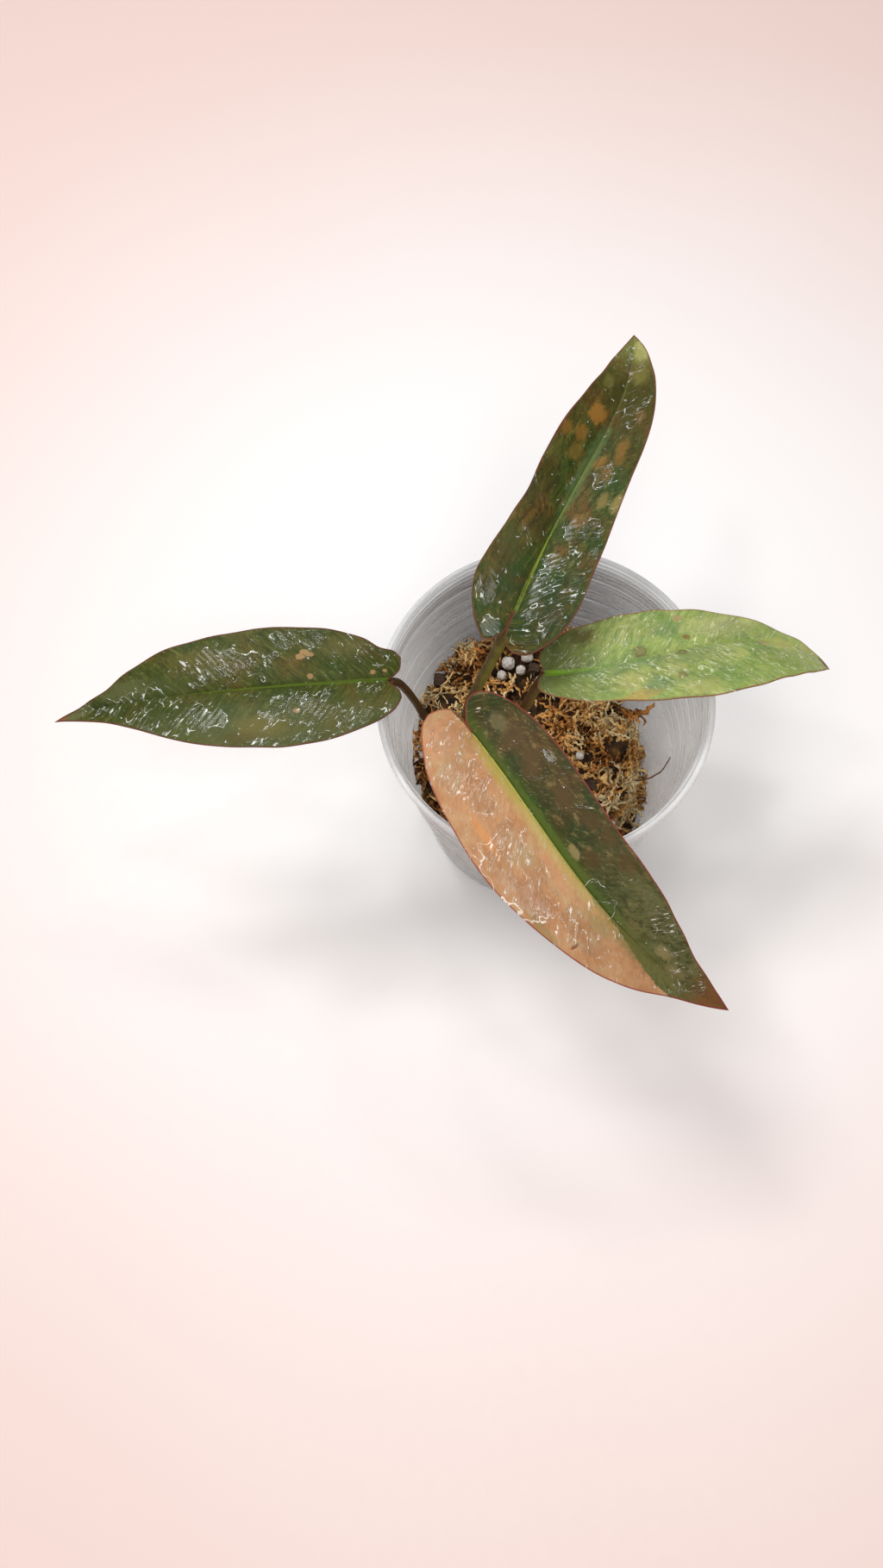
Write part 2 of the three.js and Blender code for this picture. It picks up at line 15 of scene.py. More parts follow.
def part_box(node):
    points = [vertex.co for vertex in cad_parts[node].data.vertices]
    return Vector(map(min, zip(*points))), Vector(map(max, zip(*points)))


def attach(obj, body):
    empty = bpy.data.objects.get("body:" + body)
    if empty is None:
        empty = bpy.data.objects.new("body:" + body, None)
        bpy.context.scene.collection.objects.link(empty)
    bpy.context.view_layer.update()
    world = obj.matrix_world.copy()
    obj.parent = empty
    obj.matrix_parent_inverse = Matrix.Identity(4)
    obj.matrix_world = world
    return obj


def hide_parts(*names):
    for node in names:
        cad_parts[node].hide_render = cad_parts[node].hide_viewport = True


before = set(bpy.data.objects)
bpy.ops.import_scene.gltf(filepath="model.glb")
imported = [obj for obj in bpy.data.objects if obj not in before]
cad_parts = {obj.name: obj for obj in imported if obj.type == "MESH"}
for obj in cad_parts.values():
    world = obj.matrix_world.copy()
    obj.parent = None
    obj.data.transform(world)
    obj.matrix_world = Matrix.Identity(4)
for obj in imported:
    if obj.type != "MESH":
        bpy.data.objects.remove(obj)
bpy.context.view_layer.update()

MM = 0.001

# Camera: held above the front of the pot and looking down at it. Its place and lens were fitted
# to the round rim and base of the pot in a picture 1024 pixels wide and 1819 high.
PICTURE_HEIGHT = 1819
FOCAL_PIXELS = 1400
SENSOR = 36
CAMERA_PLACE = Vector((-7.8, -168.6, 493.6)) * MM
CAMERA_FORWARD = Vector((-0.0621, 0.3256, -0.9435)).normalized()
CAMERA_RIGHT = Vector((0.9959, 0.0829, -0.0370))


def only(*pieces):
    """Selects these pieces alone and makes the first the active one."""
    bpy.ops.object.select_all(action="DESELECT")
    for piece in pieces:
        piece.select_set(True)
    if pieces:
        bpy.context.view_layer.objects.active = pieces[0]


only()
bpy.ops.object.camera_add()
camera = bpy.context.object
upward = CAMERA_RIGHT.cross(CAMERA_FORWARD).normalized()
turn = Matrix((CAMERA_FORWARD.cross(upward), upward, -CAMERA_FORWARD)).transposed()
camera.matrix_world = Matrix.Translation(CAMERA_PLACE) @ turn.to_4x4()
camera.data.sensor_width = SENSOR
camera.data.lens = SENSOR * FOCAL_PIXELS / PICTURE_HEIGHT
bpy.context.scene.camera = camera


# Table and light: a smooth pale top that turns faintly rosy away from the pot, under two large soft
# lights, five small ones for the gloss on wet leaves, and a pale room all round.
TABLE_SIZE = 4
TABLE_PALE = (0.94, 0.92, 0.912)
TABLE_ROSY = (0.89, 0.685, 0.635)
# Each lamp's place and width in metres and its power in watts
LAMPS = {
    "key_light": (Vector((-0.50, 0.30, 1.20)), 0.40, 5.8),
    "fill_light": (Vector((0.10, -0.50, 1.29)), 0.60, 6.2),
    "panel_rear": (Vector((-0.10, 0.52, 1.15)), 0.13, 1.05),
    "panel_rear_left": (Vector((-0.44, 0.42, 1.12)), 0.13, 1.05),
    "panel_rear_right": (Vector((0.26, 0.46, 1.12)), 0.13, 0.85),
    "panel_left": (Vector((-0.42, -0.12, 1.22)), 0.13, 1.05),
    "panel_above": (Vector((0.00, 0.14, 1.32)), 0.13, 1.05),
}
ROOM_LIGHT = (1.0, 0.985, 0.975)
ROOM_STRENGTH = 0.24
LAMP_AIM = Vector((0, 0, 0.1))


class Signal:
    """A node's output, so that shader maths is written as maths."""

    def __init__(self, finish, output):
        self.finish = finish
        self.output = output

    def maths(self, operation, first, second):
        return self.finish.node("Math", {"operation": operation}, {0: first, 1: second})

    def __add__(self, other):
        return self.maths("ADD", self, other)

    __radd__ = __add__

    def __sub__(self, other):
        return self.maths("SUBTRACT", self, other)

    def __rsub__(self, other):
        return self.maths("SUBTRACT", other, self)

    def __mul__(self, other):
        return self.maths("MULTIPLY", self, other)

    __rmul__ = __mul__

    def __abs__(self):
        return self.maths("ABSOLUTE", self, 0)

    def above(self, other):
        return self.maths("MAXIMUM", self, other)

    def step(self, low, high, start=0, end=1):
        """Eased from start at low to end at high, and even beyond them."""
        return self.finish.node(
            "MapRange", {"interpolation_type": "SMOOTHSTEP"}, {0: self, 1: low, 2: high, 3: start, 4: end}
        )


class Finish:
    """A material whose nodes are made one by one and end in its surface shader."""

    def __init__(self, name):
        self.material = bpy.data.materials.new(name)
        self.material.use_nodes = True
        self.tree = self.material.node_tree
        self.surface = self.tree.nodes["Principled BSDF"]

    def fill(self, node, inputs):
        for key, value in inputs.items():
            if isinstance(value, Signal):
                self.tree.links.new(value.output, node.inputs[key])
            elif isinstance(value, tuple) and node.inputs[key].type == "RGBA":
                node.inputs[key].default_value = (*value, 1)
            else:
                node.inputs[key].default_value = value

    def node(self, kind, settings, inputs, output=0):
        made = self.tree.nodes.new("ShaderNode" + kind)
        for key, value in settings.items():
            if key == "stops":
                elements = made.color_ramp.elements
                for place, colour in value[1:-1]:
                    elements.new(place)
                for element, (place, colour) in zip(elements, value):
                    element.position = place
                    element.color = (*colour, 1)
            else:
                setattr(made, key, value)
        self.fill(made, inputs)
        return Signal(self, made.outputs[output])

    def place(self):
        """Where a point lies, in millimetres."""
        where = self.node("TexCoord", {}, {}, "Object")
        return self.stretched(where, (1 / MM, 1 / MM, 1 / MM))

    def attribute(self, name, output="Vector"):
        return self.node("Attribute", {"attribute_name": name}, {}, output)

    def parts(self, vector):
        return [self.node("SeparateXYZ", {}, {0: vector}, axis) for axis in range(3)]

    def vector(self, x, y, z):
        return self.node("CombineXYZ", {}, {0: x, 1: y, 2: z})

    def stretched(self, vector, scale, shift=(0, 0, 0)):
        return self.node("VectorMath", {"operation": "MULTIPLY_ADD"}, {0: vector, 1: scale, 2: shift})

    def length(self, vector):
        return self.node("VectorMath", {"operation": "LENGTH"}, {0: vector}, "Value")

    def grain(self, vector, scale, detail=3, roughness=0.5, distortion=0):
        names = ("Vector", "Scale", "Detail", "Roughness", "Distortion")
        values = (vector, scale, detail, roughness, distortion)
        return self.node("TexNoise", {}, dict(zip(names, values)), "Fac")

    def cells(self, vector, scale):
        """How far a point lies from the middle of its cell."""
        return self.node("TexVoronoi", {"feature": "F1"}, {"Vector": vector, "Scale": scale}, "Distance")

    def ramp(self, value, *stops):
        return self.node("ValToRGB", {"stops": stops}, {0: value})

    def mix(self, amount, under, over):
        return self.node("Mix", {"data_type": "RGBA"}, {0: amount, 6: under, 7: over}, 2)

    def relief(self, height, strength=1):
        """A surface normal from a height in millimetres."""
        return self.node("Bump", {}, {"Height": height, "Distance": MM, "Strength": strength})

    def done(self, **inputs):
        self.fill(self.surface, {key.replace("_", " "): value for key, value in inputs.items()})
        return self.material


only()
bpy.ops.mesh.primitive_grid_add(x_subdivisions=8, y_subdivisions=8, size=TABLE_SIZE)
table = bpy.context.object
table.name = "table_top"
table_top = Finish("pale_table")
at = table_top.place()
away = table_top.length(table_top.stretched(at, (1, 1, 0), (0, -70, 0)))
blush = (away + 60 * table_top.grain(at, 0.004, 2)).step(105, 460)
table.data.materials.append(table_top.done(
    Base_Color=table_top.mix(blush, TABLE_PALE, TABLE_ROSY),
    Roughness=table_top.grain(at, 0.2, 3).step(0, 1, 0.5, 0.65),
))
for name, (place, size, power) in LAMPS.items():
    bpy.ops.object.light_add(type="AREA", location=place)
    light = bpy.context.object
    light.name = name
    light.rotation_euler = (LAMP_AIM - place).to_track_quat("-Z", "Y").to_euler()
    light.data.shape = "DISK"
    light.data.size = size
    light.data.energy = power
room = bpy.data.worlds.new("room")
room.use_nodes = True
room.node_tree.nodes["Background"].inputs["Color"].default_value = (*ROOM_LIGHT, 1)
room.node_tree.nodes["Background"].inputs["Strength"].default_value = ROOM_STRENGTH
bpy.context.scene.world = room
bpy.context.scene.view_settings.view_transform = "Standard"


# Pot: one thin wall of translucent plastic, formed over a mould that leaves rings round it, with
# a rolled rim. Its profile is drawn once, spun about the pot's axis and drilled for draining. Its
# rings and rim band are painted paler as painted highlights.
POT_HEIGHT = 106
RIM_RADIUS = 59
RIM_BAND = 4.2
RIM_LEDGE = 2
BASE_RADIUS = 46.5
POT_WALL = 0.9
POT_FLOOR = 1.4
FOOT_WIDTH = 5
FOOT_HOLLOW = 0.6
RIB_HEIGHTS = (53, 67, 81, 95)
RIB_DEPTH = 0.5
RIB_HALF_WIDTH = 1.1
POT_STEPS = 144
DRAIN_RADIUS = 2.5
DRAIN_RING = 31
DRAIN_COUNT = 8


def wall_radius(height):
    """The outside of the wall at a height: a straight taper with low rounded ribs."""
    top = POT_HEIGHT - RIM_BAND
    straight = BASE_RADIUS + (RIM_RADIUS - RIM_LEDGE - BASE_RADIUS) * height / top
    ribs = sum(math.exp(-(((height - rib) / (0.6 * RIB_HALF_WIDTH)) ** 2)) for rib in RIB_HEIGHTS)
    return straight + RIB_DEPTH * ribs


def pot_profile():
    """The wall's section: up the outside, over the rolled rim and down the inside."""
    wall = [2.2, 10, 20, 30, 40, 50]
    for rib in RIB_HEIGHTS:
        wall += [rib + RIB_HALF_WIDTH * share for share in (-1.6, -1, -0.6, -0.3, 0, 0.3, 0.6, 1, 1.6)]
    wall.append(100)
    foot = BASE_RADIUS - 1.6
    points = [(0, FOOT_HOLLOW), (foot - FOOT_WIDTH, FOOT_HOLLOW), (foot - FOOT_WIDTH + 0.8, 0), (foot, 0)]
    points += [(BASE_RADIUS - 0.4, 0.7)]
    points += [(wall_radius(height), height) for height in wall]
    band = POT_HEIGHT - RIM_BAND
    points += [(wall_radius(band), band + 0.2), (RIM_RADIUS - 0.7, band), (RIM_RADIUS - 0.1, band + 0.5)]
    points += [(RIM_RADIUS, band + 1.2), (RIM_RADIUS - 0.15, band + 2), (RIM_RADIUS, band + 2.8)]
    for angle in (20, 45, 70, 95, 120, 145):
        turned = math.radians(angle)
        points.append((RIM_RADIUS - 1 + math.cos(turned), POT_HEIGHT - 1 + math.sin(turned)))
    lip = ((57.1, 0.6), (57, 1.2), (56.6, 1.5), (56.5, 2.7), (56.1, 3))
    points += [(radius, POT_HEIGHT - drop) for radius, drop in lip]
    points += [(56, band - 0.4), (55.7, band - 0.7)]
    points += [(wall_radius(height) - POT_WALL, height) for height in reversed(wall[1:])]
    points += [(wall_radius(4) - POT_WALL, 4), (BASE_RADIUS - 2.4, POT_FLOOR), (0, POT_FLOOR)]
    return points


def merged(piece, turned_out=True):
    """Joins corners that meet and turns the faces outward."""
    only(piece)
    bpy.ops.object.mode_set(mode="EDIT")
    bpy.ops.mesh.select_all(action="SELECT")
    bpy.ops.mesh.remove_doubles(threshold=0.01 * MM)
    if turned_out:
        bpy.ops.mesh.normals_make_consistent(inside=False)
    bpy.ops.object.mode_set(mode="OBJECT")


def applied(piece, kind, **settings):
    """Applies a modifier of a kind with its settings."""
    change = piece.modifiers.new(kind.lower(), kind)
    for key, value in settings.items():
        setattr(change, key, value)
    only(piece)
    bpy.ops.object.modifier_apply(modifier=change.name)


def spun(name, profile, steps):
    """A profile of (radius, height) pairs in millimetres, turned once round the upright axis."""
    only()
    bpy.ops.mesh.primitive_plane_add(size=MM, location=(profile[0][0] * MM, 0, profile[0][1] * MM))
    piece = bpy.context.object
    piece.name = name
    bpy.ops.object.transform_apply(location=True, rotation=False, scale=False)
    bpy.ops.object.mode_set(mode="EDIT")
    bpy.ops.mesh.select_all(action="SELECT")
    bpy.ops.mesh.merge(type="CENTER")
    for (radius, height), (next_radius, next_height) in zip(profile, profile[1:]):
        step = ((next_radius - radius) * MM, 0, (next_height - height) * MM)
        bpy.ops.mesh.extrude_region_move(TRANSFORM_OT_translate={"value": step})
    bpy.ops.mesh.select_all(action="SELECT")
    bpy.ops.mesh.spin(steps=steps, angle=2 * math.pi, center=(0, 0, 0), axis=(0, 0, 1))
    bpy.ops.object.mode_set(mode="OBJECT")
    merged(piece)
    return piece


def smooth(piece, angle=40):
    """Shades a piece smoothly but for edges sharper than an angle."""
    only(piece)
    bpy.ops.object.shade_smooth_by_angle(angle=math.radians(angle))


def finished(piece, slot, *nodes):
    """Says what a piece rides on and which nodes it stands for; its slot is not used."""
    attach(piece, "root")
    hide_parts(*nodes)


pot = spun("nursery_pot", pot_profile(), POT_STEPS)
drains = []
for i in range(DRAIN_COUNT):
    angle = 2 * math.pi * (i + 0.5) / DRAIN_COUNT
    place = (DRAIN_RING * math.cos(angle) * MM, DRAIN_RING * math.sin(angle) * MM, POT_FLOOR * MM)
    bpy.ops.mesh.primitive_cylinder_add(
        vertices=24, radius=DRAIN_RADIUS * MM, depth=10 * MM, location=place
    )
    drains.append(bpy.context.object)
only(*drains)
bpy.ops.object.join()
applied(pot, "BOOLEAN", object=drains[0])
bpy.data.objects.remove(drains[0])
smooth(pot)


frosted = Finish("frosted_plastic")


def ring(height, apart, width):
    """Thin level lines, a distance apart, on a height in millimetres."""
    nearest = frosted.node("Math", {"operation": "PINGPONG"}, {0: height, 1: apart / 2})
    return nearest.step(width, 0.3 * width)


at = frosted.place()
x, y, z = frosted.parts(at)
smears = frosted.grain(frosted.vector(x * 0.06, y * 0.06, z * 0.06), 1, 2, 0.5)
frost = frosted.grain(frosted.stretched(at, (1.2, 1.2, 0.3)), 1, 3, 0.6)
wander = 5 * frosted.grain(frosted.stretched(at, (0.012, 0.012, 0.01)), 1, 2)
fades = frosted.grain(frosted.stretched(at, (0.03, 0.03, 0.25)), 1, 2, 0.6)
band = z.step(90, 102)
# The wall is clearer on the right, with fewer and wider rings, and is painted dark and more opaque at the
# back as painted shade
clearer = x.step(12, 34)
back = y.step(0, 48) * z.step(106, 96, 0.4, 1)
rings = ring(z + wander, 6.4, 0.40) * fades.step(0.36, 0.50)
rings = rings.above(ring(z - 0.7 * wander, 4.6, 0.32) * fades.step(0.56, 0.46))
rings = ((1 - 0.85 * clearer) * rings).above(
    ring(z + 0.5 * wander, 7.0, 0.75) * clearer * z.step(48, 62) * fades.step(0.26, 0.42)
)
rings = rings.above(ring(z + wander, 2.1, 0.40) * z.step(88, 93) * fades.step(0.30, 0.42))
haze = frosted.grain(frosted.vector(0, 0, z + wander), 0.42, 1, 0.5).step(0.45, 0.65)
haze = haze * (1 - 0.8 * clearer)
# Painted highlight: the mould rings, the rim band and a faint haze are painted paler; the rings are bumped as
# well
pale = (0.90 * rings + 0.08 * haze + 0.22 * band).step(0, 1)
# Painted highlight: tiny specks painted white and bumped, most of them on the rim band
sparkle_painted_and_bumped = frosted.cells(at, 1.7).step(0.30, 0.05) * frosted.grain(at, 0.9, 2).step(0.50, 0.56)
sparkle_painted_and_bumped = sparkle_painted_and_bumped * (0.25 + 0.75 * band)
scuffs = frosted.grain(frosted.stretched(at, (0.4, 0.4, 0.6)), 1, 3, 0.6)
out = frosted.length(frosted.vector(x, y, 0))
# Painted shade: a dark ring in the gap under the rolled lip
gap = 0.7 * out.step(55.9, 56.3) * out.step(57.3, 56.9) * z.step(103, 103.6)
clear = frosted.mix(smears.step(0.35, 0.7), (0.90, 0.905, 0.91), (0.95, 0.955, 0.96))
# Painted shade: the back of the wall and the gap under the lip are painted dark
clear_with_painted_shade = frosted.mix((0.92 * back).above(gap), clear, (0.15, 0.155, 0.17))
cover = 0.38 - 0.10 * clearer + 0.28 * pale + 0.20 * back
pot.data.materials.append(frosted.done(
    Base_Color=frosted.mix((pale - 0.25 * back).above(sparkle_painted_and_bumped), clear_with_painted_shade, (0.95, 0.965, 0.98)),
    Roughness=0.24 + 0.12 * smears.step(0.3, 0.7) - 0.10 * band,
    Alpha=cover + 0.04 * smears.step(0.35, 0.7) + 0.04 * (scuffs - 0.5),
    Normal=frosted.relief(0.05 * rings + 0.005 * frost + 0.10 * sparkle_painted_and_bumped, 0.8),
    IOR=1.5,
))
finished(pot, "frosted_plastic", "pot")


# Moss bed: dried long-fibre moss pressed into the pot by hand. Under the loose fronds it is one
# mass, painted dark as painted shade, that stands as a mound, a little clear of the wall on the right.
MOSS_NODES = ["moss_bed"] + [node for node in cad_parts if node.startswith("moss_tuft")]
BED_SHRINK = 2.4
BED_VOXEL = 1.3
BED_ROUGH = 1.3


def read(mesh, what):
    """Each vertex's place or direction, in rows."""
    values = np.empty(3 * len(mesh.vertices), np.float32)
    mesh.vertices.foreach_get(what, values)
    return values.reshape(-1, 3)


copies = []
for node in MOSS_NODES:
    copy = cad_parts[node].copy()
    copy.data = copy.data.copy()
    for key in list(copy.keys()):
        del copy[key]
    copy.parent = None
    bpy.context.scene.collection.objects.link(copy)
    copy.hide_render = copy.hide_viewport = False
    copies.append(copy)
bed = copies[0]
bed.name = "moss_core"
only(*copies)
bpy.ops.object.join()
merged(bed, turned_out=False)
bed.data.remesh_voxel_size = BED_VOXEL * MM
bpy.ops.object.voxel_remesh()
places = read(bed.data, "co")
bulk = BVHTree.FromPolygons(places.tolist(), [tuple(face.vertices) for face in bed.data.polygons])
rough = np.array([noise(Vector(p) * 0.45) + 0.6 * noise(Vector(p) * 1.1) for p in places / MM])
moved = places + read(bed.data, "normal") * ((BED_ROUGH * rough - BED_SHRINK) * MM)[:, None]
bed.data.vertices.foreach_set("co", moved.ravel())
bed.data.update()
bed.data.materials.clear()


def moss_finish():
    """Straw or rust to dark brown by each frond's tone, which carries painted shade, and its rust, with fine
    speckles.
    """
    moss = Finish("dried_moss")
    at = moss.place()
    tone, rust = (moss.attribute(name, "Fac") for name in ("tone", "rust"))
    speckles = moss.grain(at, 1.9, 3, 0.6)
    patches = moss.grain(at, 0.12, 2)
    value = tone + 0.42 * (speckles - 0.5) + 0.32 * (patches - 0.5)
    straw = moss.ramp(
        value,
        (0.0, (0.012, 0.006, 0.003)), (0.2, (0.085, 0.036, 0.010)), (0.4, (0.38, 0.18, 0.045)),
        (0.6, (0.88, 0.44, 0.12)), (0.8, (1.0, 0.66, 0.26)), (1.0, (1.0, 0.83, 0.48)),
    )
    orange = moss.ramp(
        value,
        (0.0, (0.012, 0.005, 0.002)), (0.2, (0.095, 0.032, 0.009)), (0.4, (0.36, 0.13, 0.028)),
        (0.6, (0.64, 0.25, 0.050)), (0.8, (0.84, 0.40, 0.11)), (1.0, (0.92, 0.58, 0.24)),
    )
    return moss.done(
        Base_Color=moss.mix((rust + 0.5 * (patches - 0.5)).step(0.35, 0.65), straw, orange),
        Roughness=0.68 + 0.2 * speckles,
        Normal=moss.relief(0.25 * moss.grain(at, 3.1, 2, 0.6)),
        Specular_IOR_Level=0.3,
    )


moss_look = moss_finish()
bed.data.materials.append(moss_look)


def mark(piece, name, values):
    """Gives each vertex its own value or vector, which a material reads by its name."""
    values = np.ascontiguousarray(values, np.float32)
    kind, key = ("FLOAT", "value") if values.ndim == 1 else ("FLOAT_VECTOR", "vector")
    piece.data.attributes.new(name, kind, "POINT").data.foreach_set(key, values.ravel())


# Painted shade: the core under the fronds is given a dark tone
mark(bed, "tone", [0.13 + 0.2 * noise(Vector(p) * 0.3) for p in moved / MM])
smooth(bed, 180)
finished(bed, "moss", "moss_bed")


# Moss fronds: each is a torn strand about a centimetre long, clad in tiny leaves, that dried into a
# cupped curl. They stand in loose clumps on the mound and lie flat in between. As painted shade,
# each is paler at its tip than at its foot, the flat ones on the mound are darker, and so are low ones in a
# clump.
FROND_KINDS = 26
FROND_WIDTHS = (0.6, 1.0, 1.0, 1.0, 0.95, 0.85, 0.7, 0.5)
FROND_NOTCH = 0.3
FROND_CUP = 0.45
FROND_RIDGE = 0.10
FROND_KEEL = 0.16
FROND_LENGTH = (6, 12)
FROND_WIDTH = (0.9, 1.5)
TUFT_TRIES = 4000
BED_TRIES = 2600
CLUMP_SPACING = 6.6
CLUMP_CLEARANCE = 4.2
CLUMP_SIZE = (11, 18)
CLUMP_TONES = (-0.40, -0.12, 0.06, 0.14)
MOSS_TONE = 0.90
MOSS_RUST = 0.18
# Fronds that lie flat: how many, the mean and spread of their change of tone, and how flat they are;
# the darker tone of those on the mound is painted shade
GROUND = (420, (-0.40, 0.12), 0.8)
PRESSED = (900, (-0.12, 0.1), 0.35)
STREWN_CLEARANCE = 3.4
STRAY_COUNT = 5
LOOSE_REACH = 4.8
# How much paler and how rusty the moss is round the pot: each place and how far its tint reaches
MOSS_TINTS = (
    ((30, -2), 15, 0.12, 0.0), ((41, 14), 7, -0.02, 0.9), ((-27, 33), 11, -0.12, 0.7),
    ((-36, 12), 11, 0.14, 0.0), ((10, 12), 10, -0.10, 0.45), ((7, 43), 8, 0.06, 0.3),
    ((28, -22), 9, 0.12, 0.0), ((-44, -8), 8, -0.2, 0.4), ((16, 2), 8, -0.22, 0.6),
    ((-20, 26), 8, -0.08, 0.6), ((24, -10), 6, -0.20, 0.2),
)
random = np.random.default_rng(7)


def unit(vectors):
    """A direction, or each row's direction, made one long."""
    if vectors.ndim == 1:
        return vectors / np.linalg.norm(vectors)
    return vectors / np.linalg.norm(vectors, axis=1)[:, None]


def frond():
    """Vertices, faces and tones of one frond along +X, in millimetres: cupped and notched."""
    length, width = random.uniform(*FROND_LENGTH), random.uniform(*FROND_WIDTH)
    curl = (random.normal(0, 0.9), -random.normal(1.3, 0.8))
    side, axis, spine = np.array([0, 1.0, 0]), np.array([1.0, 0, 0]), np.zeros(3)
    steps = len(FROND_WIDTHS)
    vertices, faces, tones = [], [], []
    for k, share in enumerate(FROND_WIDTHS):
        rise = np.cross(axis, side)
        wide = share * width
        left, right = (FROND_NOTCH * wide, wide) if k % 2 else (wide, FROND_NOTCH * wide)
        vertices += [
            spine + right * side + FROND_CUP * wide * rise, spine + FROND_RIDGE * width * rise,
            spine - left * side + FROND_CUP * wide * rise, spine - FROND_KEEL * width * rise,
        ]
        # Painted shade: darker at the foot and paler at the tip, and darker down the middle and under the
        # keel
        painted_fade = 0.42 * k / steps - 0.22 + random.normal(0, 0.05)
        tones += [painted_fade + 0.07, painted_fade - 0.06, painted_fade + 0.07, painted_fade - 0.12]
        axis = unit(axis + (curl[0] * side + curl[1] * rise + random.normal(0, 1.0, 3)) / steps)
        side = unit(side - axis * (side @ axis))
        spine = spine + axis * length / steps
        for corner in range(4):
            low, beside = 4 * k + corner, 4 * k + (corner + 1) % 4
            faces.append((low, beside, 4 * steps) if k == steps - 1 else (low, beside, beside + 4, low + 4))
    vertices.append(spine)
    tones.append(0.22)
    faces.append((3, 2, 1, 0))
    return np.array(vertices), faces, np.array(tones)


def exposed_spots():
    """Faces of the moss: whether each is a tuft's, its corners, outward direction and area."""
    spots = []
    for name in MOSS_NODES:
        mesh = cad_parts[name].data
        mesh.calc_loop_triangles()
        for triangle in mesh.loop_triangles:
            corners = [np.array(mesh.vertices[i].co) / MM for i in triangle.vertices]
            spots.append((name != "moss_bed", corners, np.array(triangle.normal), triangle.area / MM ** 2))
    return spots


def over(points, stone, reach):
    """Whether any point hides a stone from above."""
    apart = np.hypot(points[:, 0] - stone[0], points[:, 1] - stone[1] + 0.35 * (points[:, 2] - stone[2]))
    return bool(np.any((apart < reach) & (points[:, 2] > stone[2])))


def laid(kinds, seeds):
    """One mesh of copies of the fronds: seeds hold a kind, a place, three axes, a tone and a rust."""
    vertices, faces, tones, rusts, base = [], [], [], [], 0
    for kind, place, axes, tone, rust in seeds:
        shape, kind_faces, kind_tones = kinds[kind]
        points = shape @ axes + place
        if any(over(points, stone, reach) for stone, reach in stones):
            continue
        vertices.append(points)
        faces.extend([tuple(base + i for i in face) for face in kind_faces])
        tones.append(kind_tones + tone)
        rusts.append(np.full(len(shape), rust))
        base += len(shape)
    return np.concatenate(vertices) * MM, faces, np.concatenate(tones), np.concatenate(rusts)


def settled(points):
    """Points drawn in to where loose strands stand on the moss, closer where it is steep."""
    for i, point in enumerate(points):
        near, normal, _, apart = bulk.find_nearest(point)
        reach = LOOSE_REACH * MM * (0.3 + 0.7 * max(normal.z, 0))
        if apart > reach and (Vector(point) - near).dot(normal) > 0:
            points[i] = near + (Vector(point) - near) * (reach / apart)
    return points


kinds = [frond() for _ in range(FROND_KINDS)]
stone_nodes = [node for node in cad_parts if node.startswith(("pumice", "bark"))]
covers = [
    BVHTree.FromObject(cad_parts[node], bpy.context.evaluated_depsgraph_get())
    for node in MOSS_NODES[1:] + stone_nodes
]
stone_boxes = [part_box(node) for node in stone_nodes]
stones = [((low + high) / 2 / MM, (high - low).length / 4 / MM) for low, high in stone_boxes]
spots = exposed_spots()
tuft_spots = [spot for spot in spots if spot[0] and spot[2][2] > -0.2]
bed_spots = [spot for spot in spots if not spot[0] and spot[2][2] > 0.05]
wall_spots = [spot for spot in spots if not spot[0] and abs(spot[2][2]) <= 0.25]


def tints_at(place):
    """The tone and rust of the moss at a place."""
    tone, rust = MOSS_TONE, MOSS_RUST
    for (x, y), reach, paler, rustier in MOSS_TINTS:
        near = math.exp(-((math.hypot(place[0] - x, place[1] - y) / reach) ** 2))
        tone += paler * near
        rust += rustier * near
    return tone, rust


def open_place(spots, bounds, clearance):
    """A place on a face of the moss, by area, that no tuft or stone covers, and its direction."""
    while True:
        _, corners, normal, _ = spots[min(np.searchsorted(bounds, random.random()), len(spots) - 1)]
        share = random.random(2)
        if share.sum() > 1:
            share = 1 - share
        place = corners[0] + share[0] * (corners[1] - corners[0]) + share[1] * (corners[2] - corners[0])
        probe = Vector((place + 0.4 * normal) * MM)
        covered = any(tree.ray_cast(probe, Vector(normal), 9 * MM)[0] for tree in covers)
        crowded = any((Vector(place) - stone).length < clearance for stone, _ in stones)
        if not covered and not crowded:
            return place, normal


def area_bounds(spots):
    """Where each face ends when all are laid end to end by area and their sum is one."""
    areas = np.array([spot[3] for spot in spots])
    return np.cumsum(areas) / areas.sum()


def standing(place, heading, up, size, flat, tone, rust):
    """A seed for a frond that grows from a place along a heading and droops away from up."""
    across = unit(np.cross(up + random.normal(0, 0.35, 3), heading) * random.choice((1, 1, 1, -1)))
    out = np.cross(heading, across)
    axes = np.stack([heading * size, across * size, out * size * flat])
    return int(random.integers(FROND_KINDS)), place, axes, tone, rust


def clumps(spots, tries):
    """Seeds for loose clumps, a little apart, of fronds that spread from a common foot."""
    bounds, feet, seeds = area_bounds(spots), [], []
    for _ in range(tries):
        place, normal = open_place(spots, bounds, CLUMP_CLEARANCE)
        if any(np.linalg.norm(place - foot) < CLUMP_SPACING for foot in feet):
            continue
        feet.append(place)
        tone, rust = tints_at(place)
        tone += random.choice(CLUMP_TONES) + random.normal(0, 0.07)
        rust += random.normal(0, 0.28)
        lean = unit(normal + random.normal(0, 0.35, 3))
        sweep = unit(np.cross(lean, random.normal(0, 1, 3)))
        for _ in range(int(random.integers(*CLUMP_SIZE))):
            raised = random.uniform(-0.1, 1.0)
            heading = unit(math.cos(raised) * sweep + math.sin(raised) * lean + random.normal(0, 0.38, 3))
            foot = place + random.normal(0, 1.5, 3) - random.uniform(0.8, 2.4) * lean
            # Painted shade: fronds that rise less are darker
            tone_with_painted_shade = tone + 0.14 * (raised - 0.5) + random.normal(0, 0.07)
            seeds.append(standing(foot, heading, lean, random.uniform(0.75, 1.1), 1, tone_with_painted_shade, rust))
    return seeds


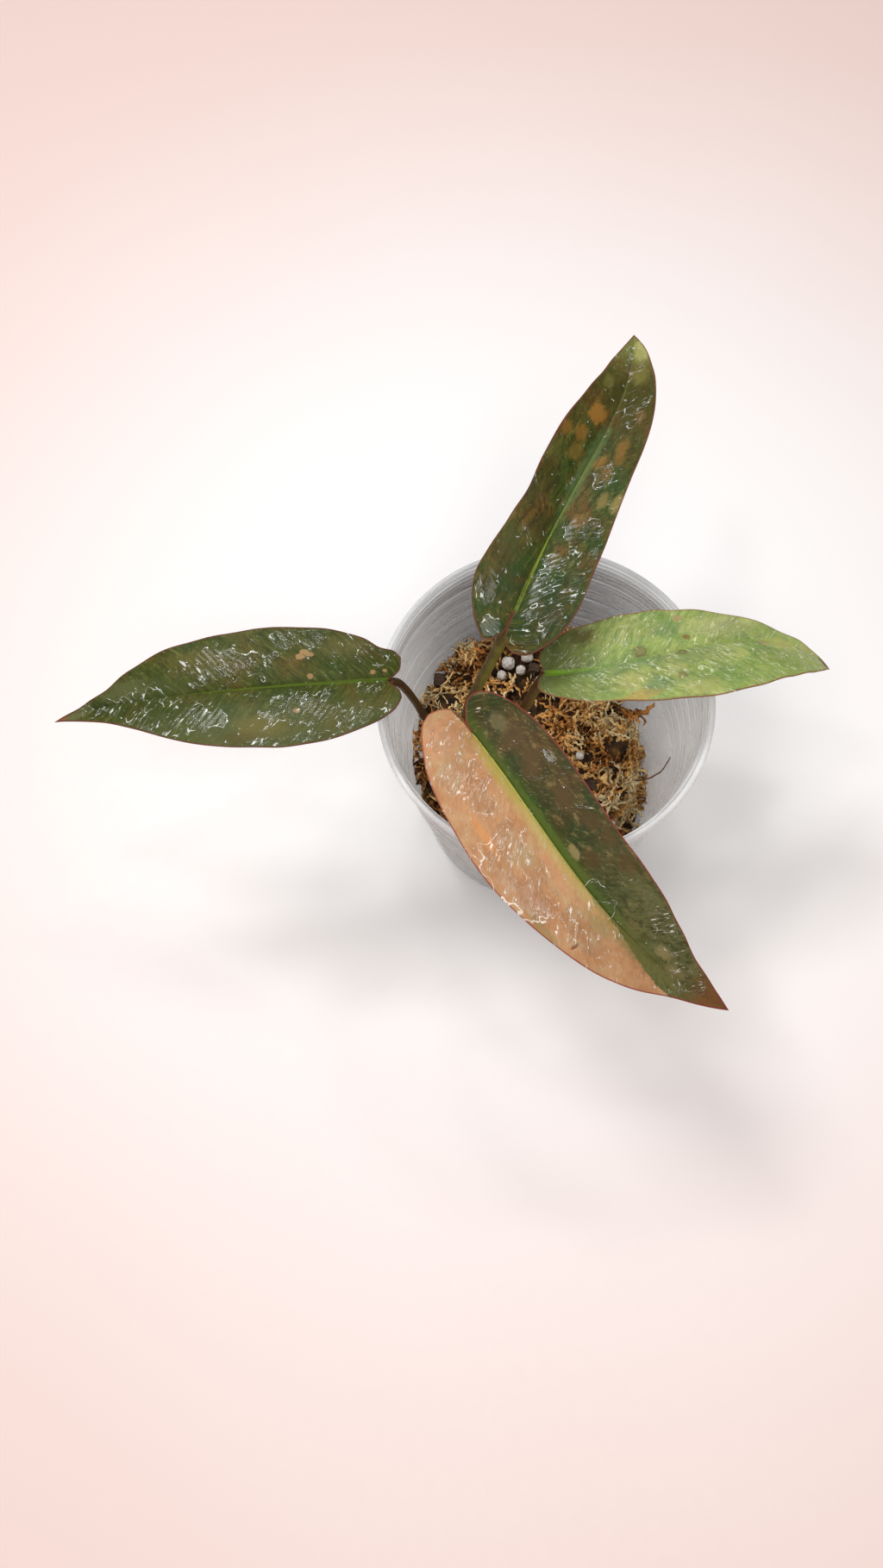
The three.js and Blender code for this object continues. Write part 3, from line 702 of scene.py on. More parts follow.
def strewn(spots, count, change, flat):
    """Seeds for fronds that lie flat on the moss, or are pressed flat against the pot's wall."""
    bounds, seeds = area_bounds(spots), []
    for _ in range(count):
        place, normal = open_place(spots, bounds, STREWN_CLEARANCE)
        heading = unit(np.cross(normal, random.normal(0, 1, 3)))
        tone, rust = tints_at(place)
        foot = place - random.uniform(0.4, 1.4) * normal
        tone += random.normal(*change)
        seeds.append(standing(foot, heading, normal, 1, flat, tone, rust))
    return seeds


# A few rusty fronds lie out over the gap on the right
STRAY_FOOT = np.array([31.5, 15.5, 58.0])
STRAY_HEADING = np.array([0.99, 0.03, 0.05])
UP = np.array([0, 0, 1.0])
layers = {
    "moss_clumps_tufts": clumps(tuft_spots, TUFT_TRIES),
    "moss_clumps_bed": clumps(bed_spots, BED_TRIES),
    "moss_sprigs_bed": strewn(bed_spots, *GROUND),
    "moss_sprigs_wall": strewn(wall_spots, *PRESSED),
}
stray = [
    standing(STRAY_FOOT, STRAY_HEADING + random.normal(0, 0.16, 3), UP, 1.3, 0.8, 0.6, 0.9)
    for _ in range(STRAY_COUNT)
]
heights = np.arange(0, POT_HEIGHT, 2)
reaches = [wall_radius(height) - POT_WALL - 0.3 for height in heights]
for name, seeds in layers.items():
    vertices, faces, tones, rusts = laid(kinds, seeds)
    vertices = settled(vertices)
    nodes = []
    if name == "moss_clumps_tufts":
        nodes = MOSS_NODES[1:]
        more, more_faces, more_tones, more_rusts = laid(kinds, stray)
        faces += [tuple(i + len(vertices) for i in face) for face in more_faces]
        vertices = np.vstack([vertices, more])
        tones, rusts = np.r_[tones, more_tones], np.r_[rusts, more_rusts]
    radius = np.hypot(vertices[:, 0], vertices[:, 1])
    room = np.interp(vertices[:, 2] / MM, heights, reaches) * MM
    vertices[:, :2] *= np.minimum(1, room / np.maximum(radius, MM))[:, None]
    vertices[:, 2] = np.maximum(vertices[:, 2], (POT_FLOOR + 0.3) * MM)
    mesh = bpy.data.meshes.new(name)
    mesh.from_pydata(vertices.tolist(), [], faces)
    strands = bpy.data.objects.new(name, mesh)
    bpy.context.scene.collection.objects.link(strands)
    mark(strands, "tone", tones)
    mark(strands, "rust", rusts)
    mesh.materials.append(moss_look)
    smooth(strands, 180)
    finished(strands, "moss_tuft" if nodes else "moss", *nodes)


# Stem and roots: the old creeping stem lies half in the moss, ringed where leaves grew, and sends
# roots down. The roots keep their modelled shape and get a fibrous skin.
STEM_RADIUS = 4.2
STEM_PATH = ((-41, 0, 53), (-31, 0, 57), (-20, -2, 58.5), (-8, -1, 58))
STEM_NODES = (-38, -30, -24, -12)
NODE_SWELL = 0.45
NODE_WIDTH = 0.8
STEM_TAPER_BACK = (0.55, 5)
STEM_TAPER_TIP = (0.45, 6)
ROD_END_ROUND = 0.4
FIBRE_RADIUS = 0.38
FIBRE_TAPER = 0.16
FIBRE_PATH = (
    (33, -6, 41), (38, -6.8, 44.2), (43, -7, 48), (45.8, -5.7, 49.6), (47.5, -5, 52), (50, -1.5, 58),
)


def smooth_line(points, per_piece=24):
    """A curve through points, with its parts spaced by the root of their distance."""
    points = np.array(points, float)
    padded = np.vstack([2 * points[0] - points[1], points, 2 * points[-1] - points[-2]])
    share = np.linspace(0, 1, per_piece, endpoint=False)[:, None]
    line = []
    for before, start, end, after in zip(padded, padded[1:], padded[2:], padded[3:]):
        a, b, c = (np.linalg.norm(q - p) ** 0.5 for p, q in ((before, start), (start, end), (end, after)))
        leaving = ((start - before) / a - (end - before) / (a + b) + (end - start) / b) * b
        arriving = ((end - start) / b - (after - start) / (b + c) + (after - end) / c) * b
        bend = 2 * share ** 3 - 3 * share ** 2
        line.append(
            (1 + bend) * start - bend * end
            + (share ** 3 - 2 * share ** 2 + share) * leaving + (share ** 3 - share ** 2) * arriving
        )
    return np.vstack([*line, points[-1:]])


def run_along(line):
    """How far along a line each of its points lies."""
    return np.r_[0, np.cumsum(np.linalg.norm(np.diff(line, axis=0), axis=1))]


def spaced(line, shares):
    """Points at shares of a line's length."""
    arc = run_along(line)
    return np.stack([np.interp(shares * arc[-1], arc, values) for values in line.T], axis=-1)


def sheet(name, rows, columns):
    """A grid, with each vertex's share of the way down its rows and along its columns."""
    only()
    bpy.ops.mesh.primitive_grid_add(x_subdivisions=columns, y_subdivisions=rows, size=1)
    piece = bpy.context.object
    piece.name = name
    flat = read(piece.data, "co") + 0.5
    return piece, np.round(flat[:, 1] * rows) / rows, np.round(flat[:, 0] * columns) / columns


def placed(piece, points):
    """Moves a piece's vertices to points in millimetres."""
    piece.data.vertices.foreach_set("co", np.ascontiguousarray(points * MM, np.float32).ravel())
    piece.data.update()


def rod(name, path, radius_at, sides, steps, size=1):
    """A closed rod along a path. Its own attribute run holds (millimetres along, turn round, share)."""
    line = smooth_line(path)
    piece, down, around = sheet(name, steps, sides)
    inside = np.clip((down * steps - 1) / (steps - 2), 0, 1)
    centre = spaced(line, inside)
    ahead = unit(spaced(line, np.minimum(inside + 0.01, 1)) - spaced(line, np.maximum(inside - 0.01, 0)))
    side = unit(np.cross(ahead, (0.3, 1.0, 0.1)))
    out = np.cross(side, ahead)
    turned = 2 * math.pi * around
    pole = np.where(down == 0, -1.0, np.where(down == 1, 1.0, 0.0))
    radius = np.where(pole == 0, size * radius_at(inside, centre, turned), 0)
    dome = pole * ROD_END_ROUND * size * radius_at(inside, centre, 0 * turned)
    points = centre + (radius * np.cos(turned))[:, None] * side + (radius * np.sin(turned))[:, None] * out
    placed(piece, points + dome[:, None] * ahead)
    mark(piece, "run", np.stack([inside * run_along(line)[-1], around, inside], axis=1))
    merged(piece)
    smooth(piece, 60)
    return piece


def stem_radius(share, centre, turned):
    """Ringed at its nodes, a little uneven, and tapered at both ends."""
    rings = sum(np.exp(-(((centre[:, 0] - x) / NODE_WIDTH) ** 2)) for x in STEM_NODES)
    uneven = 0.12 * np.sin(3 * turned + 9 * share) + 0.08 * np.sin(40 * share)
    back = STEM_TAPER_BACK[0] + STEM_TAPER_BACK[1] * share
    tip = STEM_TAPER_TIP[0] + STEM_TAPER_TIP[1] * (1 - share)
    return (STEM_RADIUS - 0.2 + NODE_SWELL * rings + uneven) * np.minimum(1, np.minimum(back, tip))


stem = rod("creeping_stem", STEM_PATH, stem_radius, 28, 90)
skin = Finish("stem_skin")
at = skin.place()
along, around, _ = skin.parts(skin.attribute("run"))
stripes = skin.grain(skin.vector(along * 0.25, around * 24, 0), 1, 4, 0.6)
scaly = skin.grain(at, 0.5, 3)
stem.data.materials.append(skin.done(
    Base_Color=skin.ramp(
        0.6 * scaly + 0.4 * stripes,
        (0.3, (0.035, 0.022, 0.010)), (0.45, (0.10, 0.085, 0.028)), (0.6, (0.19, 0.16, 0.055)),
        (0.75, (0.25, 0.18, 0.09)),
    ),
    Roughness=0.55 + 0.2 * stripes,
    Normal=skin.relief(0.3 * stripes + 0.2 * scaly, 0.8),
))
finished(stem, "stem", "stem")

skin = Finish("root_skin")
at = skin.place()
hairs = skin.grain(skin.stretched(at, (2.2, 2.2, 0.5)), 1, 4, 0.65)
patches = skin.grain(at, 0.25, 2)
root_look = skin.done(
    Base_Color=skin.ramp(
        0.6 * hairs + 0.4 * patches,
        (0.3, (0.06, 0.03, 0.015)), (0.5, (0.24, 0.14, 0.065)), (0.7, (0.45, 0.31, 0.17)),
    ),
    Roughness=0.75 + 0.2 * hairs,
    Normal=skin.relief(0.2 * hairs),
)
for node in ("root_1", "root_2", "root_3", "root_4"):
    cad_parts[node].data.materials.clear()
    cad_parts[node].data.materials.append(root_look)


def fibre_radius(share, centre, turned):
    """Thin, tapering and a little knotted."""
    return FIBRE_RADIUS - FIBRE_TAPER * share + 0.03 * np.sin(50 * share) + 0.02 * np.sin(3 * turned)


fibre = rod("root_hook", FIBRE_PATH, fibre_radius, 8, 40)
skin = Finish("dark_root")
dark = skin.grain(skin.place(), 1.2, 3)
fibre.data.materials.append(skin.done(
    Base_Color=skin.ramp(dark, (0.3, (0.05, 0.022, 0.010)), (0.6, (0.16, 0.075, 0.035))),
    Roughness=0.6 + 0.3 * dark,
    Normal=skin.relief(0.15 * dark),
))
finished(fibre, "root_fibre", "root_fibre")


# Petioles: each leaf's stalk grows from a ring of the stem, sheathed and thick at its foot, slightly
# grooved and wet, olive and maroon in streaks and blotches. One side is painted darker as painted
# shade, and each is darker towards its foot.
# Each stalk's light and dark colours mix by streaks, blotches, its foot and a painted shade on one side
PETIOLES = {
    "rear": {
        "path": ((-30, 0, 57), (-27.5, 8, 75), (-23.5, 11, 90), (-18, 12, 114), (-11.8, 15.5, 137.8)),
        "radius": 2.1, "light": (0.27, 0.24, 0.045), "dark": (0.10, 0.060, 0.016),
    },
    "left": {
        "path": ((-37.5, 0, 54), (-43, 1, 74), (-46.5, 0.5, 94), (-50.5, -2, 114), (-53, -5.8, 123.6)),
        "radius": 1.5, "light": (0.10, 0.050, 0.018), "dark": (0.045, 0.014, 0.009),
    },
    "right": {
        "path": ((-12, -1, 58), (-8.5, 4.5, 73), (-5.5, 5.5, 88), (-2.5, 3.5, 108), (-0.5, 3, 116.6)),
        "radius": 1.95, "light": (0.19, 0.13, 0.036), "dark": (0.10, 0.045, 0.014),
    },
    "front": {
        "path": ((-24, -1.5, 58), (-27, -12, 86), (-26.5, -21, 116), (-22.8, -28.7, 138.8)),
        "radius": 1.8, "light": (0.18, 0.12, 0.05), "dark": (0.08, 0.035, 0.018),
    },
}
SHEATH_SWELL = 0.35
SHEATH_SHARE = 0.22
GROOVE_DEPTH = 0.07
GROOVE_TURN = 2.2
GROOVE_WIDTH = 0.35
HEAD_GAP = 0.035


def stalk_radius(share, centre, turned):
    """Swollen by the sheath at its foot, grooved down one side and a little bumpy."""
    sheath = np.maximum(0, 1 - share / SHEATH_SHARE)
    from_groove = np.angle(np.exp(1j * (turned - GROOVE_TURN)))
    groove = GROOVE_DEPTH * np.exp(-((from_groove / GROOVE_WIDTH) ** 2))
    bumps = 0.012 * np.sin(26 * share + 2 * turned)
    return 0.97 + SHEATH_SWELL * sheath ** 2 - groove + bumps


for name, shape in PETIOLES.items():
    line = smooth_line(shape["path"])
    path = spaced(line, np.linspace(0, 1 - HEAD_GAP / 4, 9))
    stalk = rod("petiole_" + name + "_skin", path, stalk_radius, 28, 110, shape["radius"])
    skin = Finish("petiole_" + name)
    along, around, share = skin.parts(skin.attribute("run"))
    at = skin.place()
    # Painted shade: one side of the stalk is painted darker
    painted_side_shade = 0.5 + 0.5 * skin.node("Math", {"operation": "COSINE"}, {0: 2 * math.pi * around})
    streaks = skin.grain(skin.vector(along * 0.08, around * 9, 0), 1, 4, 0.6)
    blotches = skin.grain(at, 0.16, 3)
    foot = share.step(0.5, 0, 0, 1)
    dark = (0.55 * painted_side_shade + 0.5 * streaks + 0.5 * blotches + 0.25 * foot).step(0.55, 1.05)
    colour = skin.mix(dark, shape["light"], shape["dark"])
    flecks = skin.grain(at, 1.6, 2).step(0.66, 0.72)
    wet = skin.grain(at, 0.3, 3).step(0.45, 0.6)
    stalk.data.materials.append(skin.done(
        Base_Color=skin.mix(0.5 * flecks, colour, (0.25, 0.17, 0.08)),
        Roughness=0.5 - 0.2 * wet,
        Normal=skin.relief(0.12 * streaks + 0.08 * wet, 0.7),
        Specular_IOR_Level=0.12,
    ))
    finished(stalk, "petiole", "petiole_" + name)


# Leaves: each blade is one long arrow-based sheet, under half a millimetre thick, grown round a sunk
# midrib with fine side veins. They were just watered, so a wrinkled film of water lies on them; its
# wrinkles, shores and drops are bumped and glossy and also painted pale as painted highlights.
BLADE_THICKNESS = 0.42
CHANNEL_RISE = 1
CHANNEL_WIDTH = 3
BLADE_CUP = 0.0045
LOBE_DROOP = 0.012
VEIN_SWEEP = 5
LOBE_ROWS = 40
BLADE_ROWS = 230
BLADE_COLUMNS = 36
LOBE_RUN = 14
VEIN_STEP = 2.3
VEIN_SLANT = 0.65
VEIN_RELIEF = 0.045
CREASE_DEPTH = 0.25
CREASE_WIDTH = 0.6
BROAD_WAVE = 0.30
FINE_WAVE = 0.10
EDGE_WAVE = 0.35
EDGE_WAVE_LENGTH = 17
WATER_RELIEF = 0.10
RIB_RISE = 0.8
RIB_WIDTH = 0.9
# Each leaf: the four corners of its midrib's curve and its roll at both ends in degrees. Each half:
# its fold in degrees at the base, middle and tip, the inner edge of its lobe, and its margin, both as
# millimetres along the midrib and across it.
LEAVES = {
    "rear": {
        "midrib": ((-12, 15, 139), (9, 73, 157), (22, 77, 157), (22, 117, 151)),
        "roll": (4, 4),
        "left": {
            "fold": (8, 30, 8),
            "sinus": ((-2.5, -1), (-7, -0.8), (-11, -3.5), (-12.5, -6.5)),
            "margin": (
                (-8, -11), (-1, -15), (6.5, -17), (15.5, -16), (26.5, -14), (37.5, -12.6), (48.5, -13.2),
                (61.5, -13), (72.5, -11.8), (84.5, -9.5), (97, -6),
            ),
        },
        "right": {
            "fold": (8, 8, 8),
            "sinus": ((-3.5, -0.5), (-7.7, -0.2), (-11.5, 1.8), (-13, 4.6)),
            "margin": (
                (-12, 9), (-6.5, 14), (0.5, 17.5), (8.5, 18.9), (19.5, 18.6), (31.5, 18), (44.5, 16.5),
                (56.5, 15), (69.5, 13.5), (82.5, 11), (94.5, 7.5), (103.5, 4),
            ),
        },
    },
    "left": {
        "midrib": ((-53, -6, 125), (-109, -20, 142), (-153, -19, 120), (-169, -23, 110)),
        "roll": (-3, -9),
        "left": {
            "fold": (8, 8, 6),
            "sinus": ((-1, -1.7), (-2.9, -4.1), (-3.4, -7)),
            "margin": (
                (-1, -10.7), (4, -14.2), (12, -17.6), (23, -20.5), (35, -21.6), (48, -20.6), (61, -18.6),
                (73, -15), (86, -10), (98, -6), (109, -3.4),
            ),
        },
        "right": {
            "fold": (12, 10, 8),
            "sinus": ((-2.4, 1.4), (-4.5, 3.6), (-5, 7)),
            "margin": (
                (-3, 9.4), (2.5, 11.1), (7.5, 14.3), (15, 17), (27, 19), (41, 19.6), (54, 18.6), (67, 17),
                (78, 14.4), (88, 10), (98, 5), (108.5, 1.8),
            ),
        },
    },
    "right": {
        "midrib": ((-1, 3, 118), (28, 0, 127), (69, 30, 129), (99, 19, 101)),
        "roll": (0, -22),
        "left": {
            "fold": (10, 0, -14),
            "sinus": ((-1, -2), (-2, -3.9), (-2.1, -5.6)),
            "margin": (
                (-1, -8.4), (2.5, -11.4), (9.5, -14.5), (18.5, -16.4), (31.5, -17.5), (43.5, -17),
                (56, -15.1), (67, -12.5), (78, -9.1), (88.5, -5.6), (98.5, -2.9),
            ),
        },
        "right": {
            "fold": (10, 8, 6),
            "sinus": ((-0.6, 1), (-1.4, 2.8), (-1.1, 4.6)),
            "margin": (
                (0, 7), (5.5, 10), (13.5, 12.6), (25, 15.6), (37, 19), (48, 21.3), (58, 21.9), (69, 20.5),
                (80, 17.4), (91, 12.9), (101.5, 6.5),
            ),
        },
    },
    "front": {
        "midrib": ((-23, -29, 140), (6, -65, 147), (21, -94, 138), (64, -104, 105)),
        "roll": (-2, 7),
        "left": {
            "fold": (14, 18, 10),
            "sinus": ((-4.3, -0.9), (-7.5, -2.8), (-10.4, -5.5), (-11, -8.5)),
            "margin": (
                (-9, -11.5), (-3.5, -14.5), (5.5, -17), (17, -18.4), (30, -18.5), (43.5, -18), (56, -17.6),
                (70.5, -17), (82.5, -15), (94.5, -11.5), (105.5, -7.6), (116.5, -4),
            ),
        },
        "right": {
            "fold": (8, 6, 6),
            "sinus": ((-6.8, -0.8), (-12, 0.2), (-14, 3.6), (-14, 7.5)),
            "margin": (
                (-11, 11.6), (-3.5, 16.1), (5.5, 20), (16.5, 22.2), (28.5, 23.2), (40.5, 23.4), (53.5, 21.6),
                (67, 18.6), (80, 15.4), (92, 11.1), (103.5, 6.1), (114.5, 3.2),
            ),
        },
    },
}
# Wet places on each leaf: millimetres along and across, and how far they reach both ways
WET = {
    "rear": (
        (10, 9, 14, 8), (20.7, 10.6, 5, 4), (32.6, 7.2, 4, 4), (25.8, 16.6, 5, 2), (35, 12.3, 4, 3),
        (-8, 6.2, 4, 5), (-8.3, -5.8, 4, 4), (3.3, -12.1, 5, 4), (52, 6, 5, 3), (78, 6, 7, 3), (97, 1, 6, 3),
    ),
    "left": (
        (28, -9, 14, 6), (40.9, -19.9, 8, 2), (25.1, -18.9, 9, 2), (10.1, -13.7, 9, 4), (5.6, -2, 4, 3),
        (27.8, 15.6, 10, 4), (75.1, -8, 14, 6), (62.3, -9.1, 8, 6), (85.4, -1.1, 10, 4), (55, 8, 16, 6),
        (5, 8, 6, 4), (100, 0, 10, 3),
    ),
    "right": (
        (3.8, -8.8, 3, 3), (12.8, -2.7, 5, 3), (34.3, -9.7, 8, 5), (46, 8, 14, 8), (66, -3, 10, 6),
        (82, 8, 12, 6), (24, 6, 8, 5), (96, 2, 7, 3),
    ),
    "front": (
        (11, 12, 8, 6), (22.6, 10.5, 6, 4), (36.8, 10.7, 7, 5), (48.3, 9.6, 6, 4), (55, 14, 7, 5),
        (44.2, 18, 8, 4), (21.8, -14.3, 3, 1.5), (66.2, -1.1, 6, 3), (83.8, -10.3, 6, 3), (91.5, -6.9, 6, 4),
        (0, 8, 8, 7), (70, 10, 8, 4), (107, -1, 8, 3),
    ),
}


def eased(values, low, high):
    """Nothing at low, one at high and smooth in between."""
    share = np.clip((values - low) / (high - low), 0, 1)
    return share * share * (3 - 2 * share)


def midrib_line(leaf):
    """Points along a leaf's midrib, which is one curve from four corners."""
    corners = np.array(leaf["midrib"], float)
    t = np.linspace(0, 1, 401)[:, None]
    weights = ((1 - t) ** 3, 3 * t * (1 - t) ** 2, 3 * t ** 2 * (1 - t), t ** 3)
    return sum(weight * corner for weight, corner in zip(weights, corners))


def on_blade(leaf, along, across, lift):
    """Points of a blade in space, from millimetres along its midrib, across it and above it."""
    line = midrib_line(leaf)
    arc = run_along(line)
    share = np.clip(along / arc[-1], 0, 1)
    inside = np.clip(along, 0, arc[-1])
    centre = np.stack([np.interp(inside, arc, values) for values in line.T], axis=1)
    heading = np.gradient(line, arc, axis=0)
    ahead = unit(np.stack([np.interp(inside, arc, values) for values in heading.T], axis=1))
    centre += ahead * (along - inside)[:, None]
    side = unit(np.cross(ahead, UP))
    roll = np.radians(leaf["roll"][0] * (1 - share) + leaf["roll"][1] * share)[:, None]
    side = side * np.cos(roll) + np.cross(ahead, side) * np.sin(roll)
    normal = np.cross(side, ahead)
    folds = [leaf[half]["fold"] for half in ("left", "right")]
    bump = (4 * share * (1 - share)) ** 2
    fold = np.where(across < 0, *(
        base * (1 - share) + tip * share + (middle - (base + tip) / 2) * bump for base, middle, tip in folds
    ))
    out = np.abs(across)
    rise = CHANNEL_RISE * (1 - np.exp(-out / CHANNEL_WIDTH)) + np.tan(np.radians(fold)) * out
    rise -= BLADE_CUP * out ** 2 + LOBE_DROOP * np.minimum(along, 0) ** 2
    return centre + side * across[:, None] + normal * (rise + lift)[:, None]


def waves(along, across, scale, seed):
    """Soft noise over a blade, of a seed's own."""
    return np.array([noise(Vector((a * scale, b * scale, seed))) for a, b in zip(along, across)])


def half_blade(name, leaf, side, length, seed):
    """One half of a blade, with its own attributes plan (along, across, to the margin) and flow."""
    half = leaf[side]
    back = half["sinus"][-1]
    inner = smooth_line([(0, 0), *half["sinus"]])
    outer = smooth_line([back, *half["margin"], (length, 0)])
    shares = np.linspace(0, 1, 401)
    turn = shares[np.argmax(spaced(outer, shares)[:, 0] > VEIN_SWEEP)]
    rows = LOBE_ROWS + BLADE_ROWS
    piece, down, out = sheet("leaf_" + name + "_" + side, rows, BLADE_COLUMNS)
    row = down * rows
    in_lobe = row < LOBE_ROWS
    lobe_share = np.clip(row / LOBE_ROWS, 0, 1)
    blade_share = np.clip((row - LOBE_ROWS) / BLADE_ROWS, 0, 1)
    on_midrib = np.stack([length * blade_share, 0 * blade_share], axis=1)
    start = np.where(in_lobe[:, None], spaced(inner, 1 - lobe_share), on_midrib)
    end = spaced(outer, np.where(in_lobe, turn * lobe_share, turn + (1 - turn) * blade_share))
    along, across = (start + (end - start) * out[:, None]).T
    rim = np.vstack([spaced(inner, np.linspace(0, 1, 90)), spaced(outer, np.linspace(0, 1, 700))])
    tree = KDTree(len(rim))
    for i, (x, y) in enumerate(rim):
        tree.insert((x, y, 0), i)
    tree.balance()
    margin = np.array([tree.find((x, y, 0))[2] for x, y in zip(along, across)])
    run = np.where(in_lobe, LOBE_RUN * (lobe_share - 1), length * blade_share)
    width = np.linalg.norm(end - start, axis=1)
    sign = -1 if side == "left" else 1
    from_midrib = np.where(in_lobe, np.hypot(along, across), out * width)
    ends = eased(length - along, 2, 22) * eased(margin, -1, 4)
    swept = run - VEIN_SLANT * from_midrib
    vein = np.cos(2 * math.pi * (swept + 1.6 * waves(along, across, 0.12, seed)) / VEIN_STEP)
    lift = -VEIN_RELIEF * np.maximum(vein, -0.4) * eased(from_midrib, 0.5, 3) * eased(margin, 0.5, 4)
    lift -= CREASE_DEPTH * np.exp(-((from_midrib / CREASE_WIDTH) ** 2)) * eased(length - along, 4, 20)
    lift += BROAD_WAVE * waves(along, across, 0.075, seed + 3) * ends
    lift += FINE_WAVE * waves(along, across, 0.3, seed + 6) * ends
    edge = np.exp(-margin / 2.5) * eased(length - along, 4, 18)
    swing = 2 * math.pi * run / EDGE_WAVE_LENGTH + 2.2 * waves(along, across, 0.03, seed + 9) + sign
    lift += EDGE_WAVE * edge * np.sin(swing)
    film = np.zeros(len(along))
    for s, w, reach_s, reach_w in WET[name]:
        apart = np.hypot((along - s) / reach_s, (across - w) / reach_w)
        film = np.maximum(film, 1 - apart ** 2 / 2.2)
    film += 0.55 * waves(along, across, 0.16, seed + 12) + 0.3 * waves(along, across, 0.45, seed + 15)
    film *= eased(margin, 0.2, 1.0)
    lift += WATER_RELIEF * eased(film, 0.38, 0.70)
    placed(piece, on_blade(leaf, along, across, lift))
    mark(piece, "plan", np.stack([along, across, margin], axis=1))
    mark(piece, "flow", np.stack([run, sign * from_midrib, film], axis=1))
    return piece


def whole_blade(name, leaf, seed):
    """Both halves of a blade joined and thickened, with the midrib raised on its underside."""
    length = run_along(midrib_line(leaf))[-1]
    halves = [half_blade(name, leaf, side, length, seed) for side in ("left", "right")]
    only(*halves)
    bpy.ops.object.join()
    piece = halves[0]
    piece.name = "leaf_" + name + "_blade"
    merged(piece)
    if read(piece.data, "normal")[:, 2].mean() < 0:
        piece.data.flip_normals()
    count = len(piece.data.vertices)
    applied(piece, "SOLIDIFY", thickness=BLADE_THICKNESS * MM, offset=0, material_offset=1)
    points = read(piece.data, "co")
    plan = np.empty(points.size, np.float32)
    piece.data.attributes["plan"].data.foreach_get("vector", plan)
    along, across, _ = plan.reshape(-1, 3).T
    below = read(piece.data, "normal")
    rib = RIB_RISE * np.exp(-((across / RIB_WIDTH) ** 2)) * eased(along, 0, 3) * eased(length - along, 2, 40)
    points[count:] += (below * (rib * MM)[:, None])[count:]
    low, high = (np.array(corner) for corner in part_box("leaf_" + name))
    piece.data.vertices.foreach_set("co", np.clip(points, low, high).ravel())
    piece.data.update()
    smooth(piece, 60)
    return piece


